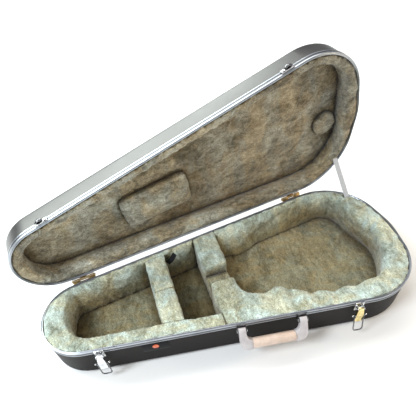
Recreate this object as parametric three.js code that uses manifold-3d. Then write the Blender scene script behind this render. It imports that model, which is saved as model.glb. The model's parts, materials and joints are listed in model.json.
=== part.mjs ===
// A hard instrument case with a flared body end: moulded base and lid shells with aluminium rims,
// two short hinges, two wire draw latches, a carrying handle, a lid stay and a plush-covered lining.
// Millimetres. +X runs from the narrow end to the wide end, +Y to the hinges, +Z up.
// The origin is the middle of the flat bottom. The lid stands open.
import * as THREE from 'three';
import { mergeVertices } from 'three/addons/utils/BufferGeometryUtils.js';
import Module from 'manifold-3d';

const wasm = await Module();
wasm.setup();

// ---- Driving dimensions ----
const caseLength = 740;
const caseWidth = 310;
const baseDepth = 86.5;
const lidDepth = 50;
const narrowEndRadius = 79;
const wideEndRadius = 150;
const shoulderRadius = 113;
const shoulderFromWideEnd = 119;
const lidOpenAngle = 88;

const wall = 3;
const baseFillet = 14;
const lidFillet = 10;
const clearance = 0.3;

const flange = 1.2;
const flangeHeight = 10;
const rimWeb = 4.6;
const rimParting = 0.3;
const tongueWidth = 1.4;
const tongueHeight = 2;
const tonguePlay = 0.3;

const hingeLength = 46;
const hingeAxisOut = 7;
const barrelRadius = 3;
const hingePinRadius = 1.4;
const pinPlay = 0.09;
const leafThickness = 1.5;
const leafHeight = 20;
const leafArmInset = 0.2;
const leafBarrelGap = 0.4;
const knuckleGap = 0.2;
const hingePinHeadInset = 0.6;
const hingePinHeadLength = 1.2;
const hingePinHeadOverlap = 0.5;
const narrowHingeFromNarrowEnd = 92;
const wideHingeFromWideEnd = 159;

const latchWidth = 17;
const latchLength = 24;
const latchPivotOut = 8;
const latchPivotDrop = 10.5;
const latchPlateThickness = 1.2;
const plateTopDrop = 1;
const latchSlotWidth = 8;
const latchSlotHeight = 2.2;
const latchSlotDrop = 3.5;
const earGap = 0.4;
const earThickness = 1.5;
const earRadius = 2.6;
const pivotPinOverhang = 0.4;
const leverWidth = 10;
const leverLength = 34;
const crossPinDrop = 18;
const crossPinBeyondPivot = 3;
const crossPinRadius = 1.2;
const crossPinBallRadius = 1.9;
const crossPinOverhang = 2.2;
const bailWidth = 18;
const bailLength = 38;
const bailWire = 1.3;
const bailCorner = 6;
const bailEyeWall = 0.4;
const bailTopDrop = 1.8;
const narrowBailHang = 5;
const wideBailHang = 18;
const keeperPlateLength = 24;
const keeperPlateGap = 0.8;
const keeperDomeRadius = 5.2;
const keeperDomeWall = 1.4;
const keeperDomeStretch = 1.45;
const keeperDomeDrop = 2;
const keeperMouthDrop = 5;
const keeperDomeShift = 3;
const keeperRivetRadius = 2.6;
const keeperRivetHeight = 2.2;
const keeperRivetShift = 7;
const narrowLatchFromNarrowEnd = 97;
const wideLatchFromWideEnd = 165;

const handleOffset = 39;
const handleWidth = 127;
const handleDrop = 28.5;
const handlePostWidth = 13;
const handlePostDepth = 12;
const gripRadius = 10;
const gripLength = 80;
const handleCoreRadius = 3;
const handlePinRadius = 2.4;
const handlePivotOut = 8;
const handlePivotDrop = 11;
const handleHang = 33;
const handleBend = 17;
const handleInnerBend = 24;
const handleCoreOverlap = 8;
const bracketEarGap = 0.5;
const bracketEarThickness = 2;
const bracketEarRadius = 4;
const bracketFoot = 9;
const handlePinOverhang = 3.3;

const namePlateLength = 50;
const namePlateHeight = 28;
const namePlateFromNarrowEnd = 195;
const namePlateThickness = 1;
const namePlateGap = 1;
const badgeRadius = 6;
const badgeThickness = 0.7;
const badgeRise = 2;

const stayWidth = 12;
const stayThickness = 1;
const stayAngle = 41;
const stayRimGap = 0.9;
const stayTail = 20;
const stayRivetRadius = 3;
const stayRivetThickness = 2;
const stayRivetFromEnd = 4;
const stayPocketSide = 0.5;
const stayPocketFront = 0.7;
const stayPocketBack = 3;

const floorPad = 12;
const ledgeDrop = 2;
const frontLedge = 31;
const rearLedge = 10;
const rearPadFoot = 26;
const narrowEndLedge = 46;
const wideEndLedge = 36;
const dividerWidth = 40;
const dividerFromNarrowEnd = 218;
const frontDividerRise = 2;
const dividerSplit = 4;
const neckBlockWidth = 50;
const neckBlockFromWideEnd = 362;
const neckSlotWidth = 36;
const neckSlotOffset = 7;
const neckSlotDepth = 26;
const pillarFromWideEnd = 81;
const bodyFrontLedge = 42;
const bodyBulge = 24;
const bodyBulgeWidth = 130;
const tabLength = 14;
const tabThickness = 1.2;
const tabDepth = 22;
const tabFromDivider = 2;
const tabFromRearPad = 12;

const lidLedge = 22.5;
const lidNarrowLedge = 26;
const lidWideLedge = 30;
const lidFloorPad = 8;
const pillowLength = 142;
const pillowWidth = 76;
const pillowFromNarrowEnd = 292;
const pillowRise = 14;
const pillowOffset = 12;
const pillowCorner = 16;
const endPadRadius = 25;
const endPadGap = 4;
const endPadOffset = 24;
const lidNarrowPadLength = 30;
const lidWidePadLength = 60;

// ---- Finishes ----
function finish(color, roughness, metalness) {
  return new THREE.MeshStandardMaterial({ color, roughness, metalness });
}
const shellBlack = finish(0x24211f, 0.42, 0);
const rimAluminium = finish(0xc9ccd0, 0.3, 1);
const chrome = finish(0xd6d8da, 0.12, 1);
const hingeBrass = finish(0xa98e5c, 0.35, 1);
const handlePlastic = finish(0xc9c4c2, 0.5, 0);
const gripVinyl = finish(0xd3b69c, 0.55, 0);
const plateBlack = finish(0x0b0b0c, 0.4, 0);
const badgeOrange = finish(0xd9552b, 0.5, 0);
const webbing = finish(0xb9bcc0, 0.8, 0);
const plush = finish(0xa0a184, 0.95, 0);
const tabBlack = finish(0x101010, 0.7, 0);

// ---- Values that follow from the driving dimensions ----
const halfLength = caseLength / 2;
const rimTop = baseDepth - rimParting / 2;
const lidRim = baseDepth + rimParting / 2;
const caseTop = baseDepth + lidDepth;
const shellInset = flange + clearance;
const rimWidth = shellInset + wall;
const padInset = rimWidth + clearance;
const stayInset = rimWidth + stayWidth / 2 + stayRimGap;
const padTop = baseDepth - ledgeDrop;
const floorTop = wall + clearance + floorPad;
const padBottom = floorTop + clearance;

// ---- Solids ----
function toSolid(geometry) {
  geometry.deleteAttribute('normal');
  geometry.deleteAttribute('uv');
  const merged = mergeVertices(geometry, 1e-4);
  const vertProperties = new Float32Array(merged.attributes.position.array);
  const triVerts = new Uint32Array(merged.index.array);
  return new wasm.Manifold(new wasm.Mesh({ numProp: 3, vertProperties, triVerts }));
}

function toGeometry(body) {
  const mesh = body.getMesh();
  const geometry = new THREE.BufferGeometry();
  geometry.setAttribute('position', new THREE.BufferAttribute(mesh.vertProperties, 3));
  geometry.setIndex(new THREE.BufferAttribute(mesh.triVerts, 1));
  return geometry;
}

function box(x0, x1, y0, y1, z0, z1) {
  const geometry = new THREE.BoxGeometry(x1 - x0, y1 - y0, z1 - z0);
  geometry.translate((x0 + x1) / 2, (y0 + y1) / 2, (z0 + z1) / 2);
  return toSolid(geometry);
}

function slab(shape, low, high, segments = 8) {
  const options = { depth: high - low, bevelEnabled: false, curveSegments: segments };
  const geometry = new THREE.ExtrudeGeometry(shape, options);
  geometry.translate(0, 0, low);
  return toSolid(geometry);
}

// A section drawn in Y and Z, drawn out along X.
function alongX(points, x0, x1) {
  const shape = new THREE.Shape(points.map(([y, z]) => new THREE.Vector2(y, z)));
  const geometry = new THREE.ExtrudeGeometry(shape, { depth: x1 - x0, bevelEnabled: false });
  const turn = new THREE.Matrix4().makeBasis(
    new THREE.Vector3(0, 1, 0),
    new THREE.Vector3(0, 0, 1),
    new THREE.Vector3(1, 0, 0),
  );
  geometry.applyMatrix4(turn);
  geometry.translate(x0, 0, 0);
  return toSolid(geometry);
}

function rodX(radius, x0, x1, y, z, sides = 16) {
  const geometry = new THREE.CylinderGeometry(radius, radius, x1 - x0, sides);
  geometry.rotateZ(Math.PI / 2);
  geometry.translate((x0 + x1) / 2, y, z);
  return toSolid(geometry);
}

function rodY(radius, y0, y1, x, z, sides = 16) {
  const geometry = new THREE.CylinderGeometry(radius, radius, y1 - y0, sides);
  geometry.translate(x, (y0 + y1) / 2, z);
  return toSolid(geometry);
}

function ball(radius, x, y, z, sides = 10, widen = 1) {
  const geometry = new THREE.SphereGeometry(radius, sides, sides / 2);
  geometry.scale(widen, 1, 1);
  geometry.translate(x, y, z);
  return toSolid(geometry);
}

// ---- Plan outline: the hull of four circles ----
const circles = [
  { x: -halfLength + narrowEndRadius, y: 0, radius: narrowEndRadius, steps: 14 },
  {
    x: halfLength - shoulderFromWideEnd,
    y: -(caseWidth / 2 - shoulderRadius),
    radius: shoulderRadius,
    steps: 7,
  },
  { x: halfLength - wideEndRadius, y: 0, radius: wideEndRadius, steps: 10 },
  {
    x: halfLength - shoulderFromWideEnd,
    y: caseWidth / 2 - shoulderRadius,
    radius: shoulderRadius,
    steps: 7,
  },
];

function tangentNormal(from, to) {
  const dx = to.x - from.x;
  const dy = to.y - from.y;
  const apart = Math.hypot(dx, dy);
  return Math.atan2(dy, dx) - Math.acos((from.radius - to.radius) / apart);
}

function outlinePoints(inset) {
  const points = [];
  circles.forEach((circle, index) => {
    const before = circles[(index + 3) % 4];
    const after = circles[(index + 1) % 4];
    const start = tangentNormal(before, circle);
    let sweep = tangentNormal(circle, after) - start;
    while (sweep < 0) sweep += 2 * Math.PI;
    for (let step = 0; step <= circle.steps; step += 1) {
      const angle = start + (sweep * step) / circle.steps;
      const reach = circle.radius - inset;
      points.push([circle.x + reach * Math.cos(angle), circle.y + reach * Math.sin(angle)]);
    }
  });
  return points;
}

function outline(inset) {
  return new THREE.Shape(outlinePoints(inset).map(([x, y]) => new THREE.Vector2(x, y)));
}

function plan(inset, low, high) {
  return slab(outline(inset), low, high);
}

function ring(outer, inner, low, high) {
  return plan(outer, low, high).subtract(plan(inner, low - 1, high + 1));
}

// The flanks are the straight sides. flankY is the outline's half width on them.
const flankAngle = Math.PI / 2 + tangentNormal(circles[0], circles[1]);
const flankSlope = -flankAngle;
function flankY(x, inset = 0) {
  const along = x - circles[0].x;
  return (narrowEndRadius - inset + along * Math.sin(flankSlope)) / Math.cos(flankSlope);
}

// ---- Scene graph: the base, and the lid turned open about the hinge axis ----
const group = new THREE.Group();
const lidGroup = new THREE.Group();
const hingePivot = new THREE.Group();
const hingeAxis = new THREE.Vector3(Math.cos(flankSlope), Math.sin(flankSlope), 0);
const hingePoint = new THREE.Vector3(0, flankY(0) + hingeAxisOut / Math.cos(flankSlope), baseDepth);
hingePivot.position.copy(hingePoint);
hingePivot.quaternion.setFromAxisAngle(hingeAxis, THREE.MathUtils.degToRad(-lidOpenAngle));
lidGroup.position.copy(hingePoint).negate();
hingePivot.add(lidGroup);
group.add(hingePivot);

function place(parent, name, body, material) {
  const mesh = new THREE.Mesh(toGeometry(body), material);
  mesh.name = name;
  parent.add(mesh);
}

// A place on a flank, with X along it. On the front flank -Y faces out, on the rear one +Y does.
function flankPlace(parent, side, x) {
  const spot = new THREE.Group();
  spot.position.set(x, side * flankY(x), 0);
  spot.rotation.z = side * flankSlope;
  parent.add(spot);
  return spot;
}

// Turns a solid made for the base rim upside down, so that it fits the lid rim.
function onLid(body) {
  return body.rotate([180, 0, 0]).translate([0, 0, 2 * baseDepth]);
}

// ---- Shells and rims ----
function rounded(inset, low, radius, depth) {
  const options = { depth, bevelThickness: radius, bevelSize: radius, bevelSegments: 3 };
  const geometry = new THREE.ExtrudeGeometry(outline(inset + radius), options);
  geometry.translate(0, 0, low + radius);
  return toSolid(geometry);
}

// The room inside a tray, kept a margin away from its wall and floor.
function room(depth, fillet, margin) {
  return rounded(shellInset + wall + margin, wall + margin, fillet - wall, 2 * depth);
}

function tray(depth, fillet) {
  const outside = rounded(shellInset, 0, fillet, 2 * depth);
  const below = plan(0, -1, depth - rimWeb - clearance);
  return outside.intersect(below).subtract(room(depth, fillet, 0));
}

// An angle section: the flange hangs outside the wall and the web lies on the wall's edge.
function rimAngle() {
  const low = rimTop - flangeHeight;
  const outerFlange = ring(0, flange, low, rimTop);
  const web = ring(0, rimWidth, rimTop - rimWeb, rimTop);
  return outerFlange.add(web);
}

const tongueInset = (rimWidth - tongueWidth) / 2;
const grooveRing = ring(
  tongueInset - tonguePlay,
  tongueInset + tongueWidth + tonguePlay,
  rimTop - tongueHeight - tonguePlay,
  rimTop + 1,
);
const tongueRing = ring(tongueInset, tongueInset + tongueWidth, rimTop - 1, rimTop + tongueHeight);

place(group, 'base_shell', tray(baseDepth, baseFillet), shellBlack);
place(group, 'base_rim', rimAngle().subtract(grooveRing), rimAluminium);
const lidSink = [0, 0, baseDepth - lidDepth];
place(lidGroup, 'lid_shell', onLid(tray(lidDepth, lidFillet).translate(lidSink)), shellBlack);
place(lidGroup, 'lid_rim', onLid(rimAngle().add(tongueRing)), rimAluminium);

// ---- Hinges ----
// In a leaf's section Y is out from the rim and Z is up.
function hingeLeaf(ownKnuckles) {
  const face = clearance;
  const back = clearance - shellInset;
  const armTop = baseDepth - barrelRadius + leafThickness - leafArmInset;
  const armLow = armTop - leafThickness;
  const low = armTop - leafHeight;
  const flangeLow = rimTop - flangeHeight - clearance;
  const section = (reach) => [
    [back, low],
    [face + leafThickness, low],
    [face + leafThickness, armLow],
    [reach, armLow],
    [reach, armTop],
    [face, armTop],
    [face, flangeLow],
    [back, flangeLow],
  ];
  const shortReach = hingeAxisOut - barrelRadius - leafBarrelGap;
  let leaf = alongX(section(shortReach), -hingeLength / 2, hingeLength / 2);
  ownKnuckles.forEach(([x0, x1]) => {
    leaf = leaf.add(alongX(section(hingeAxisOut), x0, x1));
    leaf = leaf.add(rodX(barrelRadius, x0, x1, hingeAxisOut, baseDepth, 20));
  });
  const bore = hingePinRadius + pinPlay;
  return leaf.subtract(rodX(bore, -hingeLength, hingeLength, hingeAxisOut, baseDepth, 20));
}

const hinges = [
  ['narrow', -halfLength + narrowHingeFromNarrowEnd],
  ['wide', halfLength - wideHingeFromWideEnd],
];
const knuckle = hingeLength / 3;
hinges.forEach(([end, x]) => {
  const outerKnuckles = [
    [-hingeLength / 2, -knuckle / 2 - knuckleGap],
    [knuckle / 2 + knuckleGap, hingeLength / 2],
  ];
  const middleKnuckle = [[-knuckle / 2 + knuckleGap, knuckle / 2 - knuckleGap]];
  const baseSpot = flankPlace(group, 1, x);
  const lidSpot = flankPlace(lidGroup, 1, x);
  const lidLeaf = hingeLeaf(middleKnuckle).mirror([0, 0, 1]).translate([0, 0, 2 * baseDepth]);
  place(baseSpot, `hinge_${end}_base_leaf`, hingeLeaf(outerKnuckles), hingeBrass);
  place(lidSpot, `hinge_${end}_lid_leaf`, lidLeaf, hingeBrass);
  const reach = hingeLength / 2 + clearance;
  const head = (x0, x1) => rodX(barrelRadius - hingePinHeadInset, x0, x1, hingeAxisOut, baseDepth);
  const shaft = reach + hingePinHeadOverlap;
  const pin = rodX(hingePinRadius, -shaft, shaft, hingeAxisOut, baseDepth, 20)
    .add(head(reach, reach + hingePinHeadLength))
    .add(head(-reach - hingePinHeadLength, -reach));
  place(baseSpot, `hinge_${end}_pin`, pin, hingeBrass);
});

// ---- Draw latches: plate, lever, cross pin and wire bail on the base, keeper on the lid ----
const latchPivotZ = baseDepth - latchPivotDrop;
const crossPinOut = latchPivotOut + crossPinBeyondPivot;
const crossPinZ = latchPivotZ - crossPinDrop;
const plateFront = -clearance - latchPlateThickness;
const earInner = leverWidth / 2 + earGap;
const earOuter = earInner + earThickness;
const pinBore = crossPinRadius + pinPlay;

// The outside of a plate that lies on the flange and, below it, on the shell's wall.
function platedSection(low) {
  const top = rimTop - plateTopDrop;
  const back = shellInset - clearance;
  const flangeLow = rimTop - flangeHeight - clearance;
  return [
    [plateFront, top],
    [plateFront, low],
    [back, low],
    [back, flangeLow],
    [-clearance, flangeLow],
    [-clearance, top],
  ];
}

// A pair of ears that carry a pin in front of a plate.
function ears(inner, outer, radius, out, height) {
  const ear = (x0, x1) => box(x0, x1, -out, plateFront + clearance, height - radius, height + radius)
    .add(rodX(radius, x0, x1, -out, height));
  return ear(-outer, -inner).add(ear(inner, outer));
}

function latchPlate() {
  const slotTop = rimTop - latchSlotDrop;
  const slotHalf = latchSlotWidth / 2;
  const slot = box(-slotHalf, slotHalf, plateFront - 1, 0, slotTop - latchSlotHeight, slotTop);
  return alongX(platedSection(rimTop - latchLength), -latchWidth / 2, latchWidth / 2)
    .subtract(slot)
    .add(ears(earInner, earOuter, earRadius, latchPivotOut, latchPivotZ))
    .subtract(rodX(pinBore, -latchWidth, latchWidth, -latchPivotOut, latchPivotZ));
}

function latchLever() {
  const top = latchPivotZ;
  const tip = top - leverLength;
  const section = [
    [-latchPivotOut + 2.4, top + 0.5],
    [-latchPivotOut + 1.2, top + 2.2],
    [-latchPivotOut - 1.2, top + 2.2],
    [-latchPivotOut - 2.4, top + 0.5],
    [-crossPinOut - 2.2, crossPinZ + 3],
    [-crossPinOut - 2.4, crossPinZ - 2],
    [-crossPinOut - 2.2, tip + 5],
    [-crossPinOut - 4, tip],
    [-crossPinOut - 2.6, tip - 0.6],
    [-crossPinOut - 0.4, tip + 5],
    [-crossPinOut + 2, crossPinZ - 3],
    [-crossPinOut + 2.4, crossPinZ + 2],
  ];
  return alongX(section, -leverWidth / 2, leverWidth / 2)
    .subtract(rodX(pinBore, -latchWidth, latchWidth, -latchPivotOut, top))
    .subtract(rodX(pinBore, -latchWidth, latchWidth, -crossPinOut, crossPinZ));
}

function crossPin() {
  const reach = bailWidth / 2 + bailWire + crossPinOverhang;
  return rodX(crossPinRadius, -reach, reach, -crossPinOut, crossPinZ)
    .add(ball(crossPinBallRadius, -reach, -crossPinOut, crossPinZ))
    .add(ball(crossPinBallRadius, reach, -crossPinOut, crossPinZ));
}

// The bail hangs from the cross pin, turned out from the wall by its hang.
function wireBail(hang) {
  const side = bailWidth / 2;
  const flat = side - bailCorner;
  const bend = bailCorner - bailLength;
  const path = new THREE.CurvePath();
  const at = (x, z) => new THREE.Vector3(x, 0, z);
  const leg = (from, to) => path.add(new THREE.LineCurve3(from, to));
  const corner = (from, turn, to) => path.add(new THREE.QuadraticBezierCurve3(from, turn, to));
  leg(at(-side, -bailTopDrop), at(-side, bend));
  corner(at(-side, bend), at(-side, -bailLength), at(-flat, -bailLength));
  leg(at(-flat, -bailLength), at(flat, -bailLength));
  corner(at(flat, -bailLength), at(side, -bailLength), at(side, bend));
  leg(at(side, bend), at(side, -bailTopDrop));
  const wire = new THREE.Shape();
  wire.absarc(0, 0, bailWire, 0, 2 * Math.PI);
  const options = { steps: 28, extrudePath: path, curveSegments: 4, bevelEnabled: false };
  let bail = toSolid(new THREE.ExtrudeGeometry(wire, options));
  for (const x of [-side, side]) {
    bail = bail.add(rodX(crossPinRadius + bailWire + bailEyeWall, x - bailWire, x + bailWire, 0, 0));
  }
  return bail
    .subtract(rodX(pinBore, -latchWidth, latchWidth, 0, 0))
    .rotate([-hang, 0, 0])
    .translate([0, -crossPinOut, crossPinZ]);
}

// The keeper is a plate on the lid's flange with a hooded dome that is open towards the rim.
function keeper(side) {
  const low = lidRim + keeperPlateGap;
  const high = lidRim + flangeHeight;
  const half = keeperPlateLength / 2;
  const plate = box(-half, half, plateFront, -clearance, low, high);
  const domeBall = (radius) => ball(
    radius,
    side * keeperDomeShift,
    plateFront,
    high - keeperDomeDrop,
    14,
    keeperDomeStretch,
  );
  const mouth = high - keeperMouthDrop;
  const top = high + 2 * keeperDomeRadius;
  const front = -latchWidth;
  const dome = domeBall(keeperDomeRadius)
    .intersect(box(-half, half, front, plateFront + clearance, mouth, top));
  const hollow = domeBall(keeperDomeRadius - keeperDomeWall)
    .intersect(box(-half, half, front, plateFront, low, top));
  return plate.add(dome.subtract(hollow));
}

const latches = [
  ['narrow', -halfLength + narrowLatchFromNarrowEnd, -1, narrowBailHang],
  ['wide', halfLength - wideLatchFromWideEnd, 1, wideBailHang],
];
latches.forEach(([end, x, side, hang]) => {
  const baseSpot = flankPlace(group, -1, x);
  const lidSpot = flankPlace(lidGroup, -1, x);
  place(baseSpot, `latch_${end}_plate`, latchPlate(), chrome);
  const pivotReach = earOuter + pivotPinOverhang;
  const pivot = rodX(crossPinRadius, -pivotReach, pivotReach, -latchPivotOut, latchPivotZ);
  place(baseSpot, `latch_${end}_pivot_pin`, pivot, chrome);
  place(baseSpot, `latch_${end}_lever`, latchLever(), chrome);
  place(baseSpot, `latch_${end}_cross_pin`, crossPin(), chrome);
  place(baseSpot, `latch_${end}_bail`, wireBail(hang), chrome);
  place(lidSpot, `latch_${end}_keeper`, keeper(side), chrome);
  const rivetFront = plateFront - keeperRivetHeight;
  const rivet = rodY(keeperRivetRadius, rivetFront, plateFront - clearance, 0, 0, 12)
    .translate([-side * keeperRivetShift, 0, lidRim + flangeHeight / 2]);
  place(lidSpot, `latch_${end}_keeper_rivet`, rivet, chrome);
});

// ---- Handle ----
// It is drawn hanging straight down and then turned out about its pivots.
const handlePivotZ = rimTop - handlePivotDrop;
const handleSpot = flankPlace(group, -1, handleOffset);
const handlePivot = new THREE.Group();
handlePivot.position.set(0, -handlePivotOut, handlePivotZ);
handlePivot.rotation.x = THREE.MathUtils.degToRad(-handleHang);
handleSpot.add(handlePivot);
const postOuter = handleWidth / 2;
const postInner = postOuter - handlePostWidth;
const gripHalf = gripLength / 2;
const coreReach = gripHalf + handleCoreOverlap;

function handleEnd(side) {
  const low = -handleDrop - gripRadius;
  const gripTop = -handleDrop + gripRadius;
  const top = handlePostDepth / 2;
  const outer = side * postOuter;
  const inner = side * postInner;
  const gripEnd = side * (gripHalf + clearance);
  const shape = new THREE.Shape();
  shape.moveTo(outer, top);
  shape.lineTo(outer, low + handleBend);
  shape.quadraticCurveTo(outer, low + 1, side * (postOuter - handleBend), low);
  shape.lineTo(gripEnd, low);
  shape.lineTo(gripEnd, gripTop - 1);
  shape.quadraticCurveTo(inner, gripTop, inner, -handleDrop + handleInnerBend);
  shape.lineTo(inner, top);
  const reach = handleWidth;
  const roundTop = rodX(top, -reach, reach, 0, 0, 24).add(box(-reach, reach, -top, top, low, 0));
  const post = slab(shape, -top, top, 5).rotate([90, 0, 0]).intersect(roundTop);
  const postBore = rodX(handlePinRadius + pinPlay, -reach, reach, 0, 0);
  const coreEnd = coreReach + clearance;
  const coreBore = rodX(handleCoreRadius + clearance, -coreEnd, coreEnd, 0, -handleDrop);
  return post.subtract(postBore).subtract(coreBore);
}

place(handlePivot, 'handle_end_narrow', handleEnd(-1), handlePlastic);
place(handlePivot, 'handle_end_wide', handleEnd(1), handlePlastic);
const gripTube = rodX(gripRadius, -gripHalf, gripHalf, 0, -handleDrop, 24)
  .subtract(rodX(handleCoreRadius + clearance, -gripHalf - 1, gripHalf + 1, 0, -handleDrop, 16));
place(handlePivot, 'handle_grip', gripTube, gripVinyl);
const gripCore = rodX(handleCoreRadius, -coreReach, coreReach, 0, -handleDrop, 16);
place(handlePivot, 'handle_core', gripCore, chrome);

function handleBracket() {
  const inner = handlePostWidth / 2 + bracketEarGap;
  const outer = inner + bracketEarThickness;
  return alongX(platedSection(handlePivotZ - bracketFoot), -outer, outer)
    .add(ears(inner, outer, bracketEarRadius, handlePivotOut, handlePivotZ))
    .subtract(rodX(handlePinRadius + pinPlay, -2 * outer, 2 * outer, -handlePivotOut, handlePivotZ));
}

[['narrow', -1], ['wide', 1]].forEach(([end, side]) => {
  const postMiddle = side * (postOuter - handlePostWidth / 2);
  const reach = handlePostWidth / 2 + handlePinOverhang;
  const bracket = handleBracket().translate([postMiddle, 0, 0]);
  const pin = rodX(handlePinRadius, -reach, reach, -handlePivotOut, handlePivotZ);
  place(handleSpot, `handle_${end}_bracket`, bracket, chrome);
  place(handleSpot, `handle_${end}_pin`, pin.translate([postMiddle, 0, 0]), chrome);
});

// ---- Name plate with a plain round badge ----
const plateSpot = flankPlace(group, -1, -halfLength + namePlateFromNarrowEnd);
const namePlateTop = rimTop - flangeHeight - namePlateGap;
const namePlateLow = namePlateTop - namePlateHeight;
const plateBack = shellInset - clearance;
const plateFace = plateBack - namePlateThickness;
const namePlateHalf = namePlateLength / 2;
const namePlate = box(-namePlateHalf, namePlateHalf, plateFace, plateBack, namePlateLow, namePlateTop);
place(plateSpot, 'name_plate', namePlate, plateBlack);
const badgeBack = plateFace - clearance;
const badgeZ = (namePlateLow + namePlateTop) / 2 + badgeRise;
const badge = rodY(badgeRadius, badgeBack - badgeThickness, badgeBack, 0, badgeZ, 24);
place(plateSpot, 'name_badge', badge, badgeOrange);

// ---- Lid stay: a flat strap from inside the base rim to inside the lid rim ----
const stayTurn = THREE.MathUtils.degToRad(stayAngle);
const shoulder = circles[3];
const stayX = shoulder.x + (shoulderRadius - stayInset) * Math.cos(stayTurn);
const stayY = shoulder.y + (shoulderRadius - stayInset) * Math.sin(stayTurn);
const staySpot = new THREE.Group();
staySpot.position.set(stayX, stayY, 0);
staySpot.rotation.z = flankSlope;
group.add(staySpot);
const stayLidSpot = staySpot.clone();
lidGroup.add(stayLidSpot);
const outward = new THREE.Vector3(-Math.sin(flankSlope), Math.cos(flankSlope), 0);
const stayBack = hingePoint.clone().sub(new THREE.Vector3(stayX, stayY, baseDepth)).dot(outward);

function ribbon(from, to) {
  const dy = to[0] - from[0];
  const dz = to[1] - from[1];
  const scale = stayThickness / 2 / Math.hypot(dy, dz);
  const side = [-dz * scale, dy * scale];
  const ends = [dy * scale, dz * scale];
  const corner = (point, across, along) => [
    point[0] + across * side[0] + along * ends[0],
    point[1] + across * side[1] + along * ends[1],
  ];
  const section = [corner(from, -1, -1), corner(to, -1, 1), corner(to, 1, 1), corner(from, 1, -1)];
  return alongX(section, -stayWidth / 2, stayWidth / 2);
}

const openTurn = THREE.MathUtils.degToRad(lidOpenAngle);
const turned = (y, z) => [
  stayBack + (y - stayBack) * Math.cos(openTurn) + z * Math.sin(openTurn),
  baseDepth - (y - stayBack) * Math.sin(openTurn) + z * Math.cos(openTurn),
];
const stayPoints = [[0, baseDepth - stayTail], [0, baseDepth + 1], turned(0, 1), turned(0, stayTail)];
const stay = ribbon(stayPoints[0], stayPoints[1])
  .add(ribbon(stayPoints[1], stayPoints[2]))
  .add(ribbon(stayPoints[2], stayPoints[3]));
place(staySpot, 'stay_strap', stay, webbing);
const rivetFace = stayThickness / 2 + clearance;
const stayRivetZ = baseDepth - stayTail + stayRivetFromEnd;
const stayRivet = rodY(stayRivetRadius, rivetFace, rivetFace + stayRivetThickness, 0, stayRivetZ);
place(staySpot, 'stay_rivet_base', stayRivet, chrome);
const lidStayRivet = stayRivet.mirror([0, 0, 1]).translate([0, 0, 2 * baseDepth]);
place(stayLidSpot, 'stay_rivet_lid', lidStayRivet, chrome);

// The pocket that the stay's tail and its rivet take up in the lining, in the case's own axes.
function stayPocket(low, high) {
  const reach = stayWidth / 2 + stayPocketSide;
  const front = -stayThickness / 2 - stayPocketFront;
  const pocket = box(-reach, reach, front, rivetFace + stayPocketBack, low, high);
  return pocket.rotate([0, 0, THREE.MathUtils.radToDeg(flankSlope)]).translate([stayX, stayY, 0]);
}

// ---- Base lining ----
function area(points, low, high) {
  return slab(new THREE.Shape(points.map(([x, y]) => new THREE.Vector2(x, y))), low, high);
}

function smoothArea(points, low, high, divisions) {
  const curve = new THREE.CatmullRomCurve3(points.map(([x, y]) => new THREE.Vector3(x, y, 0)), true);
  return area(curve.getPoints(divisions).slice(0, -1).map(({ x, y }) => [x, y]), low, high);
}

function between(x0, x1) {
  return box(x0, x1, -caseWidth, caseWidth, -1, 2 * caseTop);
}

const narrowWellEnd = -halfLength + narrowEndLedge;
const dividerStart = -halfLength + dividerFromNarrowEnd;
const dividerEnd = dividerStart + dividerWidth;
const neckEnd = halfLength - neckBlockFromWideEnd;
const neckStart = neckEnd - neckBlockWidth;
const bodyEnd = halfLength - pillarFromWideEnd;
const wellHigh = baseDepth + 5;

// The narrow compartments lie between a front ledge and a rear pad that slopes down to its foot.
const frontEdge = (x) => -flankY(x, frontLedge);
const rearTop = (x) => flankY(x, rearLedge);
const narrowCentre = narrowWellEnd + 46;
const narrowShape = new THREE.Shape();
narrowShape.moveTo(neckStart, frontEdge(neckStart));
narrowShape.lineTo(neckStart, rearTop(neckStart));
narrowShape.lineTo(narrowCentre, rearTop(narrowCentre));
narrowShape.quadraticCurveTo(narrowWellEnd + 4, rearTop(narrowWellEnd), narrowWellEnd, 10);
narrowShape.quadraticCurveTo(
  narrowWellEnd - 2,
  frontEdge(narrowWellEnd),
  narrowCentre,
  frontEdge(narrowCentre),
);
const narrowWell = slab(narrowShape, padBottom - 1, wellHigh, 8);

// The body well is egg-shaped, and its front pad bulges out beside the neck block.
const bodyFront = (x) => -flankY(x, bodyFrontLedge);
const bulgeX = neckEnd + 38;
const bulgeY = -flankY(bulgeX, bodyFrontLedge + bodyBulge);
const bodyMiddle = neckEnd + bodyBulgeWidth + 50;
const wellRight = halfLength - wideEndLedge;
const bodyWell = smoothArea(
  [
    [neckEnd, 14],
    [neckEnd, -30],
    [neckEnd + 12, bulgeY + 6],
    [bulgeX, bulgeY - 2],
    [neckEnd + 78, bulgeY],
    [neckEnd + bodyBulgeWidth, bodyFront(neckEnd + bodyBulgeWidth) + 6],
    [bodyMiddle + 30, bodyFront(bodyMiddle)],
    [bodyEnd - 8, bodyFront(bodyMiddle)],
    [bodyEnd + 36, bodyFront(bodyMiddle) + 62],
    [wellRight, 0],
    [wellRight - 16, 56],
    [bodyEnd + 10, rearTop(bodyMiddle) - 18],
    [bodyEnd - 60, rearTop(bodyMiddle)],
    [neckEnd + 100, rearTop(neckEnd + 80)],
    [neckEnd + 14, rearTop(neckEnd)],
  ],
  padBottom - 1,
  wellHigh,
  72,
).intersect(between(neckEnd, halfLength));

const baseRoom = room(baseDepth, baseFillet, clearance);
const padBody = plan(padInset, padBottom, padTop).subtract(stayPocket(0, caseTop)).intersect(baseRoom);
const wells = narrowWell.add(bodyWell);
const surround = padBody.subtract(wells);
const gap = clearance / 2;

const floorPadBody = plan(padInset, wall + clearance, floorTop).intersect(baseRoom);
place(group, 'base_lining_floor', floorPadBody, plush);

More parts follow.
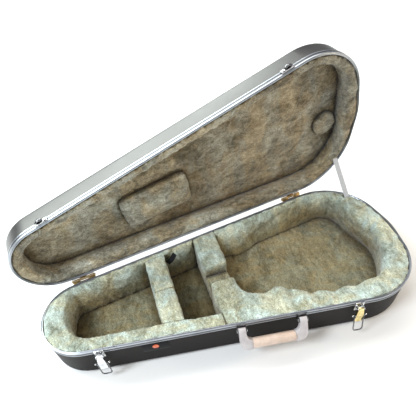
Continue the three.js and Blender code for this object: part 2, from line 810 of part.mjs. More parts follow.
// The rear pads lean in towards the floor. A section is set along the rear flank, Y out from it.
function alongRearFlank(section, x0, x1) {
  const middle = (x0 + x1) / 2;
  const reach = (x1 - x0) / 2 / Math.cos(flankSlope) + 60;
  return alongX(section, -reach, reach)
    .rotate([0, 0, THREE.MathUtils.radToDeg(flankSlope)])
    .translate([middle, flankY(middle), 0])
    .intersect(between(x0, x1));
}

function rearWedge(x0, x1, foot) {
  const section = [
    [-padInset, padBottom],
    [-padInset, padTop],
    [-rearLedge - 2, padTop],
    [-foot, padBottom],
  ];
  return alongRearFlank(section, x0 + gap, x1 - gap).intersect(padBody);
}

const frontHalf = box(-caseLength, caseLength, -caseWidth, 0, -1, caseTop);
const rearHalf = box(-caseLength, caseLength, 0, caseWidth, -1, caseTop);
const wellStart = narrowWellEnd + 14;
const frontNarrow = surround.intersect(frontHalf).intersect(between(wellStart + gap, neckStart - gap));
place(group, 'base_lining_front_narrow', frontNarrow, plush);
place(group, 'base_lining_narrow_end', surround.intersect(between(-halfLength, wellStart - gap)), plush);
place(group, 'base_lining_rear_narrow', rearWedge(wellStart, neckStart, rearPadFoot), plush);
const rearBodyPad = rearWedge(neckEnd, bodyEnd, rearPadFoot + 4);
place(group, 'base_lining_rear_body', rearBodyPad, plush);
const frontBodyBand = between(neckEnd + gap, bodyEnd - gap);
place(group, 'base_lining_front_body', surround.intersect(frontHalf).intersect(frontBodyBand), plush);
place(group, 'base_lining_wide_end', surround.intersect(between(bodyEnd + gap, halfLength)), plush);

// Dividers and neck block stand on the floor pad between the front and rear pads.
function crossBlock(x0, x1, y0, y1, high) {
  const front = area(
    [
      [x0, frontEdge(x0) + clearance],
      [x1, frontEdge(x1) + clearance],
      [x1, caseWidth],
      [x0, caseWidth],
    ],
    padBottom,
    high,
  );
  const slope = (rearPadFoot - rearLedge - 2) / (padTop - padBottom);
  const section = [
    [-caseWidth, padBottom],
    [-rearPadFoot - clearance, padBottom],
    [-rearPadFoot - clearance + slope * (high - padBottom), high],
    [-caseWidth, high],
  ];
  return front.intersect(box(x0, x1, y0, y1, 0, caseTop)).intersect(alongRearFlank(section, x0, x1));
}

const rearDivider = crossBlock(dividerStart, dividerEnd, dividerSplit + gap, caseWidth, padTop);
place(group, 'divider_rear', rearDivider, plush);
const raised = padTop + frontDividerRise;
const frontDivider = crossBlock(dividerStart, dividerEnd, -caseWidth, dividerSplit - gap, raised);
place(group, 'divider_front', frontDivider, plush);

const slotLow = neckSlotOffset - neckSlotWidth / 2;
const slotHigh = neckSlotOffset + neckSlotWidth / 2;
const neckPlan = padBody.intersect(between(neckStart + gap, neckEnd - gap));
const neckBand = (y0, y1) => neckPlan.intersect(box(neckStart, neckEnd, y0, y1, 0, caseTop));
const neckRear = neckBand(slotHigh + gap, caseWidth);
place(group, 'neck_block_rear', neckRear, plush);
const neckFront = neckBand(-caseWidth, slotLow - gap);
place(group, 'neck_block_front', neckFront, plush);
const saddleTop = padTop - neckSlotDepth;
const saddleShape = between(neckStart + gap, neckEnd - gap);
const saddle = box(neckStart, neckEnd, slotLow + gap, slotHigh - gap, padBottom, saddleTop)
  .intersect(saddleShape);
place(group, 'neck_saddle', saddle, plush);

// A pull tab stands in the rear corner of the accessory compartment.
const tabStart = dividerEnd + tabFromDivider;
const tabEnd = tabStart + tabLength;
const tabY = rearTop(tabStart + tabLength / 2) - tabFromRearPad;
const tab = box(tabStart, tabEnd, tabY - tabThickness, tabY, padTop - tabDepth, padTop);
place(group, 'compartment_tab', tab, tabBlack);

// ---- Lid lining, drawn with the lid closed ----
const lidPadLow = baseDepth + ledgeDrop;
const lidFloorHigh = caseTop - wall - clearance;
const lidFloorLow = lidFloorHigh - lidFloorPad;
const lidPadHigh = lidFloorLow - clearance;
const lidRoom = onLid(room(lidDepth, lidFillet, clearance).translate(lidSink));
const lidFloorBody = plan(padInset, lidFloorLow, lidFloorHigh).intersect(lidRoom);
place(lidGroup, 'lid_lining_floor', lidFloorBody, plush);

const lidWellStart = -halfLength + lidNarrowLedge;
const lidWellEnd = halfLength - lidWideLedge;
const lidWell = area(outlinePoints(lidLedge), lidPadLow - 2, lidPadHigh + 1)
  .intersect(between(lidWellStart, lidWellEnd));
const lidSurround = plan(padInset, lidPadLow, lidPadHigh)
  .intersect(lidRoom)
  .subtract(stayPocket(0, 2 * caseTop))
  .subtract(lidWell);
const lidNarrowCut = lidWellStart + lidNarrowPadLength;
const lidWideCut = lidWellEnd - lidWidePadLength;
const lidFlanks = lidSurround.intersect(between(lidNarrowCut + gap, lidWideCut - gap));
place(lidGroup, 'lid_lining_front', lidFlanks.intersect(frontHalf.add(onLid(rearHalf))), plush);
place(lidGroup, 'lid_lining_rear', lidFlanks.intersect(rearHalf.add(onLid(frontHalf))), plush);
const lidNarrowEnd = lidSurround.intersect(between(-halfLength, lidNarrowCut - gap));
place(lidGroup, 'lid_lining_narrow_end', lidNarrowEnd, plush);
const lidWideEnd = lidSurround.intersect(between(lidWideCut + gap, halfLength));
place(lidGroup, 'lid_lining_wide_end', lidWideEnd, plush);

const pillowX = -halfLength + pillowFromNarrowEnd;
const pillowShape = new THREE.Shape();
const pillowEnd = pillowLength / 2;
const pillowSide = pillowWidth / 2;
pillowShape.moveTo(-pillowEnd + pillowCorner, -pillowSide);
pillowShape.lineTo(pillowEnd - pillowCorner, -pillowSide);
pillowShape.quadraticCurveTo(pillowEnd, -pillowSide, pillowEnd, -pillowSide + pillowCorner);
pillowShape.lineTo(pillowEnd, pillowSide - pillowCorner);
pillowShape.quadraticCurveTo(pillowEnd, pillowSide, pillowEnd - pillowCorner, pillowSide);
pillowShape.lineTo(-pillowEnd + pillowCorner, pillowSide);
pillowShape.quadraticCurveTo(-pillowEnd, pillowSide, -pillowEnd, pillowSide - pillowCorner);
pillowShape.lineTo(-pillowEnd, -pillowSide + pillowCorner);
pillowShape.quadraticCurveTo(-pillowEnd, -pillowSide, -pillowEnd + pillowCorner, -pillowSide);
const pillow = slab(pillowShape, lidPadHigh - pillowRise, lidPadHigh, 4);
place(lidGroup, 'lid_neck_pillow', pillow.translate([pillowX, pillowOffset, 0]), plush);

const endPadX = lidWellEnd - endPadRadius - endPadGap;
const endPadGeometry = new THREE.CylinderGeometry(endPadRadius, endPadRadius, pillowRise, 20);
endPadGeometry.rotateX(Math.PI / 2);
const endPadMiddle = lidPadHigh - pillowRise / 2;
const endPad = toSolid(endPadGeometry).translate([endPadX, endPadOffset, endPadMiddle]);
place(lidGroup, 'lid_end_pad', endPad, plush);

export default group;
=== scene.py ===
# A hard instrument case that stands open: satin black shells, drawn aluminium rims, plush lining,
# two draw latches, a carrying handle and a webbing stay. Metres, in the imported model's frame.
import json
import math

import bmesh
import bpy
import numpy as np
from mathutils import Matrix, Vector
from mathutils.bvhtree import BVHTree


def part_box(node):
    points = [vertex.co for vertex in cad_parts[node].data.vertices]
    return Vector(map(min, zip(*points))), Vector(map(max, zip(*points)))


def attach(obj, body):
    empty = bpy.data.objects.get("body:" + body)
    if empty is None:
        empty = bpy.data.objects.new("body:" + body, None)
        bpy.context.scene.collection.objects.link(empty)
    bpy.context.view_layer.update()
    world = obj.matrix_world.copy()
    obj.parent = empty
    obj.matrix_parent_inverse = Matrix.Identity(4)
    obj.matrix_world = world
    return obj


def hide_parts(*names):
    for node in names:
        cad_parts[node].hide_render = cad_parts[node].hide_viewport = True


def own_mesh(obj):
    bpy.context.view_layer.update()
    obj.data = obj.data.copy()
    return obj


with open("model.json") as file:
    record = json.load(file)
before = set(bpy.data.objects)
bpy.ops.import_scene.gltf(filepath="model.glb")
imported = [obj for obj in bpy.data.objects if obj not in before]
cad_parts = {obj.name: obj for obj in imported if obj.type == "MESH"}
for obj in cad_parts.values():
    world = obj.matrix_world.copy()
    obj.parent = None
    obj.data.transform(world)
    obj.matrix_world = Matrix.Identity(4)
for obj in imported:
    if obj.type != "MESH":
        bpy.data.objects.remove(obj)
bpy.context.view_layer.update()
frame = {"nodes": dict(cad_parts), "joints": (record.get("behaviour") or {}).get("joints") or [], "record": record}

MM = 0.001

# ---- Sizes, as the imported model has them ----
rim_low, rim_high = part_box("base_rim")
HALF_LENGTH = (rim_high.x - rim_low.x) / 2
HALF_WIDTH = (rim_high.y - rim_low.y) / 2
NARROW_END_RADIUS = 79 * MM
WIDE_END_RADIUS = 150 * MM
SHOULDER_RADIUS = 113 * MM
SHOULDER_FROM_WIDE_END = 119 * MM
LID_DEPTH = 50 * MM
WALL = 3 * MM
BASE_FILLET = 14 * MM
LID_FILLET = 10 * MM
CLEARANCE = 0.3 * MM
FLANGE = 1.2 * MM
FLANGE_HEIGHT = 10 * MM
RIM_WEB = 4.6 * MM
RIM_PARTING = 0.3 * MM
TONGUE_WIDTH = 1.4 * MM
TONGUE_HEIGHT = 2 * MM
TONGUE_PLAY = 0.3 * MM
SHELL_INSET = FLANGE + CLEARANCE
RIM_WIDTH = SHELL_INSET + WALL
RIM_TOP = rim_high.z
SPLIT = RIM_TOP + RIM_PARTING / 2
PLATE_OUT = CLEARANCE + 1.2 * MM


# ---- Camera, lights and floor ----
CAMERA_PLACE = (-0.143, -0.4328, 0.6924)
CAMERA_TURN = (38.23, 3.49, -17.89)
CAMERA_LENS = 32.806
CAMERA_SHIFT = 0.1349
FLOOR_SIZE = 14
FLOOR_DROP = 0.2 * MM


def make_camera():
    """Looks down at the open case from the front left; turns are in degrees."""
    data = bpy.data.cameras.new("camera")
    data.lens = CAMERA_LENS
    data.sensor_width = 36
    data.shift_y = CAMERA_SHIFT
    data.clip_start = 0.02
    camera = bpy.data.objects.new("camera", data)
    camera.location = CAMERA_PLACE
    camera.rotation_euler = [math.radians(turn) for turn in CAMERA_TURN]
    bpy.context.scene.collection.objects.link(camera)
    bpy.context.scene.camera = camera


def soft_light(name, place, target, size, power, colour, depth=None):
    """A rectangular soft box that points at the target; square unless a depth is given."""
    data = bpy.data.lights.new(name, "AREA")
    data.shape = "RECTANGLE"
    data.size = size
    data.size_y = depth or size
    data.energy = power
    data.color = colour
    light = bpy.data.objects.new(name, data)
    light.location = place
    light.rotation_euler = (Vector(target) - Vector(place)).to_track_quat("-Z", "Y").to_euler()
    light.visible_camera = False
    bpy.context.scene.collection.objects.link(light)


def make_studio():
    """A pale room with a bright window behind the lid and small lamps at the front."""
    world = bpy.data.worlds.new("studio")
    world.use_nodes = True
    background = world.node_tree.nodes["Background"]
    background.inputs["Color"].default_value = (0.93, 0.96, 1.0, 1)
    background.inputs["Strength"].default_value = 0.36
    bpy.context.scene.world = world
    bpy.context.scene.view_settings.view_transform = "Standard"
    soft_light("key_left", (-1.3, -0.4, 1.5), (0, 0, 0.1), 0.6, 30, (0.88, 0.95, 1.0))
    soft_light("window_behind", (-1.45, 2.7, 2.4), (0, 0.1, 0.3), 4.8, 190, (0.93, 1.0, 0.95), 1.7)
    soft_light("ceiling", (0.0, 1.5, 2.7), (0, 0, 0.1), 3.6, 46, (1.0, 0.99, 0.96), 1.3)
    soft_light("front_fill", (0.4, -1.9, 1.3), (0, 0.1, 0.2), 1.0, 7, (1.0, 0.96, 0.9))
    soft_light("warm_side", (1.7, -0.5, 0.9), (0.25, 0, 0.1), 0.6, 13, (1.0, 0.8, 0.54))
    bpy.ops.mesh.primitive_plane_add(size=FLOOR_SIZE, location=(0, 0, -FLOOR_DROP))
    floor = bpy.context.object
    floor.name = "floor"
    floor.data.materials.append(floor_paper())


# ---- Materials ----
class Finish:
    """A node material with a Principled shader, and short calls for the nodes that feed it."""

    def __init__(self, name, **constants):
        self.material = bpy.data.materials.new(name)
        self.material.use_nodes = True
        self.tree = self.material.node_tree
        self.shader = self.tree.nodes["Principled BSDF"]
        for socket, value in constants.items():
            self.shader.inputs[socket.replace("_", " ")].default_value = value

    def node(self, kind, inputs=None, **settings):
        made = self.tree.nodes.new(kind)
        for key, value in settings.items():
            setattr(made, key, value)
        for key, value in (inputs or {}).items():
            self.join(made.inputs[key], value)
        return made

    def join(self, socket, value):
        if isinstance(value, bpy.types.NodeSocket):
            self.tree.links.new(value, socket)
        else:
            socket.default_value = value

    def place(self, scale=(1, 1, 1), source="Object"):
        """Object coordinates, or the piece's own map, stretched by a scale."""
        coordinates = self.node("ShaderNodeTexCoord").outputs[source]
        mapping = self.node("ShaderNodeMapping", {"Vector": coordinates, "Scale": scale})
        return mapping.outputs["Vector"]

    def noise(self, vector, scale, detail=4.0, roughness=0.5, distortion=0.0):
        inputs = {"Vector": vector, "Scale": scale, "Detail": detail}
        inputs |= {"Roughness": roughness, "Distortion": distortion}
        return self.node("ShaderNodeTexNoise", inputs).outputs["Fac"]

    def cells(self, vector, scale, feature="F1"):
        made = self.node("ShaderNodeTexVoronoi", {"Vector": vector, "Scale": scale}, feature=feature)
        return made.outputs["Distance"]

    def ramp(self, value, stops):
        """A colour along the stops, given as (position, colour) pairs."""
        made = self.node("ShaderNodeValToRGB", {"Fac": value})
        elements = made.color_ramp.elements
        elements[0].position, elements[0].color = stops[0][0], (*stops[0][1], 1)
        elements[1].position, elements[1].color = stops[-1][0], (*stops[-1][1], 1)
        for place, colour in stops[1:-1]:
            elements.new(place).color = (*colour, 1)
        return made.outputs["Color"]

    def span(self, value, low, high, start=0.0, end=1.0):
        """A value between start and end, moved to between low and high."""
        inputs = {"Value": value, "From Min": start, "From Max": end, "To Min": low, "To Max": high}
        return self.node("ShaderNodeMapRange", inputs).outputs["Result"]

    def sum(self, a, b, share=0.5):
        first = self.node("ShaderNodeMath", {0: a, 1: 1 - share}, operation="MULTIPLY").outputs[0]
        return self.node("ShaderNodeMath", {0: b, 1: share, 2: first}, operation="MULTIPLY_ADD").outputs[0]

    def blend(self, fac, a, b, how="MIX"):
        made = self.node("ShaderNodeMix", data_type="RGBA", blend_type=how)
        self.join(made.inputs[0], fac)
        self.join(made.inputs[6], a)
        self.join(made.inputs[7], b)
        return made.outputs[2]

    def bump(self, height, distance, strength=1.0):
        inputs = {"Height": height, "Distance": distance, "Strength": strength}
        made = self.node("ShaderNodeBump", inputs)
        self.join(self.shader.inputs["Normal"], made.outputs["Normal"])

    def set(self, **values):
        for socket, value in values.items():
            self.join(self.shader.inputs[socket.replace("_", " ")], value)
        return self.material


def floor_paper():
    f = Finish("floor_paper", Roughness=0.9)
    f.set(Base_Color=f.ramp(f.noise(f.place(), 3.0), [(0, (0.86, 0.86, 0.86)), (1, (0.9, 0.9, 0.9))]))
    f.bump(f.noise(f.place(), 900.0), 0.05 * MM, 0.2)
    return f.material


def shell_black(name, sheen, rough_span):
    """Satin black moulding: a fine pebble grain, faint handling marks, greyer where edges rub."""
    f = Finish(name, Specular_IOR_Level=sheen)
    at = f.place()
    cloud = f.noise(at, 9.0, 5.0)
    marks = f.noise(f.place((1, 1, 6)), 60.0, 6.0, 0.65)
    edges = f.node("ShaderNodeNewGeometry").outputs["Pointiness"]
    worn = f.ramp(edges, [(0.5, (0, 0, 0)), (0.62, (1, 1, 1))])
    colour = f.ramp(cloud, [(0.3, (0.008, 0.0065, 0.0065)), (0.7, (0.014, 0.0115, 0.0115))])
    colour = f.blend(f.span(f.sum(worn, marks, 0.3), 0.0, 0.5, 0.3, 1.2), colour, (0.08, 0.075, 0.072, 1))
    rough = f.span(f.sum(cloud, marks, 0.4), *rough_span, 0.3, 0.7)
    f.bump(f.sum(f.cells(at, 720.0), f.noise(at, 300.0, 2.0), 0.35), 0.12 * MM, 0.5)
    return f.set(Base_Color=colour, Roughness=rough)


CHANNEL_SHADE = [(0.20, (0, 0, 0)), (0.26, (0.9, 0.9, 0.9)), (0.62, (0.9, 0.9, 0.9)), (0.68, (0, 0, 0))]


def rim_aluminium():
    """Drawn aluminium: fine lines run along the rim, with a little haze and a few nicks."""
    f = Finish("rim_aluminium", Metallic=1.0)
    lines = f.noise(f.place((6, 1400, 1), "UV"), 1.0, 3.0, 0.6)
    haze = f.noise(f.place(), 22.0, 4.0)
    nicks = f.ramp(f.cells(f.place(), 45.0), [(0.02, (1, 1, 1)), (0.06, (0, 0, 0))])
    colour = f.ramp(f.sum(lines, haze, 0.5), [(0.3, (0.36, 0.38, 0.41)), (0.7, (0.50, 0.53, 0.57))])
    up = f.node("ShaderNodeSeparateXYZ", {0: f.place(source="UV")}).outputs[1]
    channel = f.ramp(f.span(up, 0.0, 1.0, 0.0, 10 * MM), CHANNEL_SHADE)
    colour = f.blend(channel, colour, (0.07, 0.072, 0.08, 1))
    colour = f.blend(f.span(nicks, 0.0, 0.35), colour, (0.45, 0.46, 0.48, 1))
    f.bump(lines, 0.03 * MM, 0.4)
    return f.set(Base_Color=colour, Roughness=f.span(f.sum(lines, haze, 0.5), 0.2, 0.4, 0.3, 0.7))


def plated(name, tones, shine, grain=0.02):
    """Plated metal with smudges and a trace of polishing lines."""
    f = Finish(name, Metallic=1.0)
    smudge = f.noise(f.place(), 130.0, 5.0, 0.6, 0.4)
    lines = f.noise(f.place((1, 1, 9)), 420.0, 3.0)
    colour = f.ramp(smudge, [(0.3, tones[0]), (0.72, tones[1])])
    f.bump(f.sum(lines, smudge, 0.5), grain * MM, 0.35)
    return f.set(Base_Color=colour, Roughness=f.span(smudge, shine[0], shine[1], 0.3, 0.7))


def handle_plastic():
    """Pale grey moulded plastic with a pinkish cast, fine matte grain and scuffs."""
    f = Finish("handle_plastic", Specular_IOR_Level=0.5)
    at = f.place()
    cloud = f.noise(at, 70.0, 5.0)
    scuffs = f.ramp(f.noise(f.place((1, 1, 5)), 190.0, 6.0, 0.7), [(0.6, (0, 0, 0)), (0.75, (1, 1, 1))])
    colour = f.ramp(cloud, [(0.3, (0.45, 0.415, 0.42)), (0.7, (0.58, 0.545, 0.55))])
    colour = f.blend(f.span(scuffs, 0.0, 0.3), colour, (0.36, 0.33, 0.32, 1))
    f.bump(f.noise(at, 1100.0, 2.0), 0.06 * MM, 0.4)
    return f.set(Base_Color=colour, Roughness=f.span(cloud, 0.36, 0.5, 0.3, 0.7))


def grip_vinyl():
    """Beige vinyl with a pebbled leather grain, darker in the creases and where hands hold it."""
    f = Finish("grip_vinyl", Specular_IOR_Level=0.45, Sheen_Weight=0.08)
    at = f.place()
    pebble = f.cells(at, 620.0, "DISTANCE_TO_EDGE")
    cloud = f.noise(at, 60.0, 5.0, 0.55)
    colour = f.ramp(cloud, [(0.3, (0.56, 0.42, 0.34)), (0.72, (0.72, 0.58, 0.49))])
    crease = f.ramp(pebble, [(0.0, (1, 1, 1)), (0.12, (0, 0, 0))])
    colour = f.blend(f.span(crease, 0.0, 0.45), colour, (0.38, 0.26, 0.2, 1))
    f.bump(f.span(pebble, 0.0, 1.0, 0.0, 0.2), 0.16 * MM, 0.6)
    return f.set(Base_Color=colour, Roughness=f.span(cloud, 0.34, 0.52, 0.3, 0.7))


def dark_plate():
    """Black enamelled plate, brushed under its lacquer."""
    f = Finish("plate_black", Specular_IOR_Level=0.08)
    lines = f.noise(f.place((2, 2, 260)), 9.0, 4.0)
    colour = f.ramp(lines, [(0.3, (0.003, 0.003, 0.0035)), (0.8, (0.012, 0.012, 0.013))])
    f.bump(lines, 0.03 * MM, 0.3)
    return f.set(Base_Color=colour, Roughness=f.span(lines, 0.3, 0.45, 0.3, 0.7))


def badge_enamel():
    """Orange enamel, a little uneven under a thin clear coat."""
    f = Finish("badge_orange", Coat_Weight=0.3, Coat_Roughness=0.1)
    pool = f.noise(f.place(), 260.0, 3.0)
    colour = f.ramp(pool, [(0.3, (0.62, 0.085, 0.025)), (0.7, (0.8, 0.16, 0.05))])
    f.bump(pool, 0.05 * MM, 0.3)
    return f.set(Base_Color=colour, Roughness=f.span(pool, 0.3, 0.42))


def stay_webbing():
    """Grey webbing: diagonal rib weave on the strap's own map, paler on the ribs."""
    f = Finish("stay_webbing", Roughness=0.75, Sheen_Weight=0.25)
    at = f.place(source="UV")
    ribs = f.node("ShaderNodeTexWave", {"Vector": at, "Scale": 330.0, "Distortion": 0.4, "Detail": 1.0})
    ribs.bands_direction = "DIAGONAL"
    threads = f.noise(f.place((1500, 260, 1), "UV"), 1.0, 2.0)
    weave = f.sum(ribs.outputs["Fac"], threads, 0.4)
    colour = f.ramp(weave, [(0.2, (0.36, 0.38, 0.42)), (0.8, (0.60, 0.62, 0.66))])
    f.bump(weave, 0.25 * MM, 0.6)
    return f.set(Base_Color=colour, Roughness=f.span(weave, 0.9, 0.65))


def tab_ribbon():
    """Black ribbon with fine cross ribs."""
    f = Finish("tab_black", Sheen_Weight=0.04, Specular_IOR_Level=0.15)
    ribs = f.node("ShaderNodeTexWave", {"Vector": f.place(), "Scale": 500.0, "Distortion": 0.6})
    ribs.bands_direction = "Z"
    threads = ribs.outputs["Fac"]
    f.bump(threads, 0.15 * MM, 0.6)
    colour = f.ramp(threads, [(0.2, (0.004, 0.004, 0.005)), (0.9, (0.018, 0.018, 0.02))])
    return f.set(Base_Color=colour, Roughness=f.span(threads, 0.85, 0.6))


def plush_lining(name, tones, nap, way, deep, shade):
    """Short plush: crushed patches where the pile lies another way, tufts, and fine fibres over both.

    Tones run from the dark roots to the pale tips. Nap stretches the patches along the pile. Deep is how
    far along the way the wells' floors and their tops are, and shade is the painted shade and light laid on
    the tones from floor to top: darker and browner down in the wells, paler on the tops."""
    f = Finish(name, Roughness=0.9, Sheen_Weight=0.45, Sheen_Roughness=0.4, Specular_IOR_Level=0.12)
    at = f.place(nap)
    drift = f.noise(f.place(), 13.0, 3.0, 0.5, 0.6)
    patches = f.noise(at, 44.0, 6.0, 0.62, 1.1)
    tufts = f.noise(at, 190.0, 5.0, 0.7, 0.9)
    fibres = f.noise(f.place(), 450.0, 4.0, 0.7, 0.3)
    tone = f.sum(f.sum(patches, tufts, 0.5), drift, 0.25)
    colour = f.ramp(tone, [(0.38, tones[0]), (0.46, tones[1]), (0.53, tones[2]), (0.62, tones[3])])
    strands = f.ramp(fibres, [(0.36, (0.3, 0.3, 0.3)), (0.62, (1.25, 1.25, 1.25))])
    colour = f.blend(0.6, colour, strands, "MULTIPLY")
    # Painted shade and light by depth: browner and darker down in the wells, paler on the tops.
    along = f.node("ShaderNodeVectorMath", {0: f.place(), 1: way}, operation="DOT_PRODUCT")
    depth = f.sum(f.span(along.outputs["Value"], 0.0, 1.0, *deep), drift, 0.3)
    depth = f.span(depth, 0.0, 1.0, 0.1, 0.85)
    colour = f.blend(1.0, colour, f.ramp(depth, shade), "MULTIPLY")
    cast = f.noise(f.place((1, 1.4, 0.6)), 21.0, 4.0, 0.55, 0.8)
    cast = f.ramp(cast, [(0.42, WARM_CAST), (0.58, COOL_CAST)])
    colour = f.blend(1.0, colour, cast, "MULTIPLY")
    # Painted shade: the plush is darkened where the walls close it in, by the stored hollow measure.
    hollow = f.node("ShaderNodeAttribute", attribute_name="hollow").outputs["Fac"]
    colour = f.blend(1.0, colour, f.ramp(hollow, HOLLOW_SHADE), "MULTIPLY")
    f.bump(f.sum(f.sum(patches, tufts, 0.6), fibres, 0.5), 4.5 * MM, 0.9)
    return f.set(Base_Color=colour)


BASE_PLUSH_TONES = [(0.20, 0.20, 0.14), (0.38, 0.39, 0.31), (0.56, 0.59, 0.50), (0.80, 0.85, 0.77)]
# The lid's lining is the base's fabric in darker, browner tones: painted shade for the lid's inside.
LID_PLUSH_TONES = [(0.12, 0.105, 0.075), (0.27, 0.24, 0.18), (0.46, 0.42, 0.33), (0.72, 0.69, 0.59)]
# Painted shade and light by depth for the base: browner and darker down the wells, paler than the plush on the
# tops.
BASE_SHADE = [
    (0.0, (0.80, 0.68, 0.52)),
    (0.35, (0.58, 0.47, 0.31)),
    (0.75, (0.86, 0.82, 0.74)),
    (0.95, (1.12, 1.16, 1.16)),
]
# Painted shade and light by depth for the lid: darker and browner down at its floor, paler at the rim.
LID_SHADE = [(0.0, (0.88, 0.84, 0.78)), (0.5, (0.6, 0.54, 0.45)), (0.95, (1.06, 1.06, 1.03))]
WARM_CAST = (1.0, 0.94, 0.82)
COOL_CAST = (0.93, 1.01, 1.08)
# Painted shade in hollows: how far the plush darkens as walls close it in.
HOLLOW_SHADE = [(0.1, (1, 1, 1)), (0.34, (0.58, 0.53, 0.44)), (0.65, (0.18, 0.155, 0.11))]
BASE_DEPTH_WAY = (0, 0, 1)
LID_DEPTH_WAY = (-0.139, -0.99, 0)
FINISHES = {
    "shell_black": shell_black("shell_black", 0.07, (0.4, 0.55)),
    "shell_lid": shell_black("shell_lid", 0.85, (0.26, 0.38)),
    "rim_aluminium": rim_aluminium(),
    "chrome": plated("chrome", ((0.62, 0.63, 0.65), (0.86, 0.87, 0.88)), (0.07, 0.2)),
    # Chrome coloured dark: a painted dark reflection of the black shell and dim room round it.
    "chrome_painted_dark": plated("chrome_painted_dark", ((0.07, 0.07, 0.075), (0.3, 0.3, 0.31)), (0.12, 0.3)),
    # Chrome tinted gold: a painted warm reflection.
    "chrome_painted_warm": plated("chrome_painted_warm", ((0.55, 0.42, 0.16), (0.95, 0.82, 0.45)), (0.07, 0.2)),
    "hinge_brass": plated("hinge_brass", ((0.30, 0.22, 0.11), (0.58, 0.46, 0.27)), (0.24, 0.42)),
    "handle_plastic": handle_plastic(),
    "grip_vinyl": grip_vinyl(),
    "plate_black": dark_plate(),
    "badge_orange": badge_enamel(),
    "stay_webbing": stay_webbing(),
    "plush_lining": plush_lining(
        "plush_lining", BASE_PLUSH_TONES, (1, 0.55, 0.8), BASE_DEPTH_WAY, (14 * MM, 82 * MM), BASE_SHADE
    ),
    # The lid's copy of the plush, darkened as painted shade.
    "plush_lid": plush_lining(
        "plush_lid", LID_PLUSH_TONES, (0.55, 1, 0.9), LID_DEPTH_WAY, (-172 * MM, -132 * MM), LID_SHADE
    ),
    "tab_black": tab_ribbon(),
}


# ---- Mesh helpers ----
def from_bmesh(name, bm, finish, smooth_under=35):
    """A mesh object at the origin, smooth except where faces meet at more than smooth_under degrees."""
    mesh = bpy.data.meshes.new(name)
    bm.to_mesh(mesh)
    bm.free()
    made = bpy.data.objects.new(name, mesh)
    bpy.context.scene.collection.objects.link(made)
    mesh.materials.append(FINISHES[finish])
    mesh.shade_smooth()
    mesh.set_sharp_from_angle(angle=math.radians(smooth_under))
    return made


def settle(piece, body, finish, *nodes):
    """Rides a piece on its body and lets it stand for its CAD nodes."""
    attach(piece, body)
    if nodes:
        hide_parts(*nodes)
    return piece


MERGE_WITHIN = 0.01 * MM
FLAT_WITHIN = math.radians(0.6)


def merged_copy(*nodes):
    """The named CAD nodes in one bmesh, with their loose triangles merged."""
    bm = bmesh.new()
    for node in nodes:
        bm.from_mesh(frame["nodes"][node].data)
    bmesh.ops.remove_doubles(bm, verts=bm.verts, dist=MERGE_WITHIN)
    return bm


def refined(node, body, finish, edge=0.3 * MM, smooth_under=35, keep_angle=25, slot=None, shape=None):
    """A CAD node made again with its flat faces whole and its edges rounded."""
    bm = merged_copy(node)
    bmesh.ops.dissolve_limit(bm, angle_limit=FLAT_WITHIN, verts=bm.verts, edges=bm.edges)
    if edge:
        sharp = [e for e in bm.edges if e.is_manifold and e.calc_face_angle(0) > math.radians(keep_angle)]
        bmesh.ops.bevel(
            bm, geom=sharp, offset=edge, segments=2, profile=0.6, affect="EDGES", clamp_overlap=True
        )
    if shape:
        shape(bm)
    return settle(from_bmesh(node + "_refined", bm, finish, smooth_under), body, slot or finish, node)


# ---- The plan outline: the hull of four circles ----
CIRCLES = [
    (-HALF_LENGTH + NARROW_END_RADIUS, 0.0, NARROW_END_RADIUS),
    (HALF_LENGTH - SHOULDER_FROM_WIDE_END, SHOULDER_RADIUS - HALF_WIDTH, SHOULDER_RADIUS),
    (HALF_LENGTH - WIDE_END_RADIUS, 0.0, WIDE_END_RADIUS),
    (HALF_LENGTH - SHOULDER_FROM_WIDE_END, HALF_WIDTH - SHOULDER_RADIUS, SHOULDER_RADIUS),
]
ARC_STEP = 3.2 * MM
FLANK_STEP = 24 * MM


def tangent_normal(start, end):
    """The direction in which the line that touches two (x, y, radius) circles faces."""
    dx, dy = end[0] - start[0], end[1] - start[1]
    return math.atan2(dy, dx) - math.acos((start[2] - end[2]) / math.hypot(dx, dy))


def outline(inset):
    """Points round the case, an inset inside its edge, as (x, y). Each inset gives as many points."""
    points = []
    for index, (x, y, radius) in enumerate(CIRCLES):
        after = CIRCLES[(index + 1) % 4]
        start = tangent_normal(CIRCLES[index - 1], (x, y, radius))
        end = tangent_normal((x, y, radius), after)
        sweep = (end - start) % (2 * math.pi)
        steps = max(3, round(sweep * radius / ARC_STEP))
        for step in range(steps + 1):
            angle = start + sweep * step / steps
            reach = radius - inset
            points.append((x + reach * math.cos(angle), y + reach * math.sin(angle)))
        direction = Vector((math.cos(end), math.sin(end)))
        here = Vector(points[-1])
        there = Vector(after[:2]) + direction * (after[2] - inset)
        spans = max(1, round(math.hypot(after[0] - x, after[1] - y) / FLANK_STEP))
        points += [tuple(here.lerp(there, part / spans)) for part in range(1, spans)]
    return points


FLANK_SLOPE = -(math.pi / 2 + tangent_normal(CIRCLES[0], CIRCLES[1]))


def flank_y(x):
    """How far out the straight flank is at x."""
    along = x - CIRCLES[0][0]
    return (NARROW_END_RADIUS + along * math.sin(FLANK_SLOPE)) / math.cos(FLANK_SLOPE)


def flank_frame(side, x):
    """On a flank: X along it, and Y as in the model. Side -1 is the front and 1 is the rear."""
    return Matrix.Translation((x, side * flank_y(x), 0)) @ Matrix.Rotation(side * FLANK_SLOPE, 4, "Z")


lid_joint = next(j for j in frame["joints"] if j["name"] == "lid_hinge")
LID_OPEN = math.radians(lid_joint["range_deg"][0])
HINGE_POINT = Vector(lid_joint["pos_m"])
HINGE_AXIS = Vector(lid_joint["axis"])
ON_LID = (
    Matrix.Translation(HINGE_POINT)
    @ Matrix.Rotation(-LID_OPEN, 4, HINGE_AXIS)
    @ Matrix.Translation(-HINGE_POINT)
)


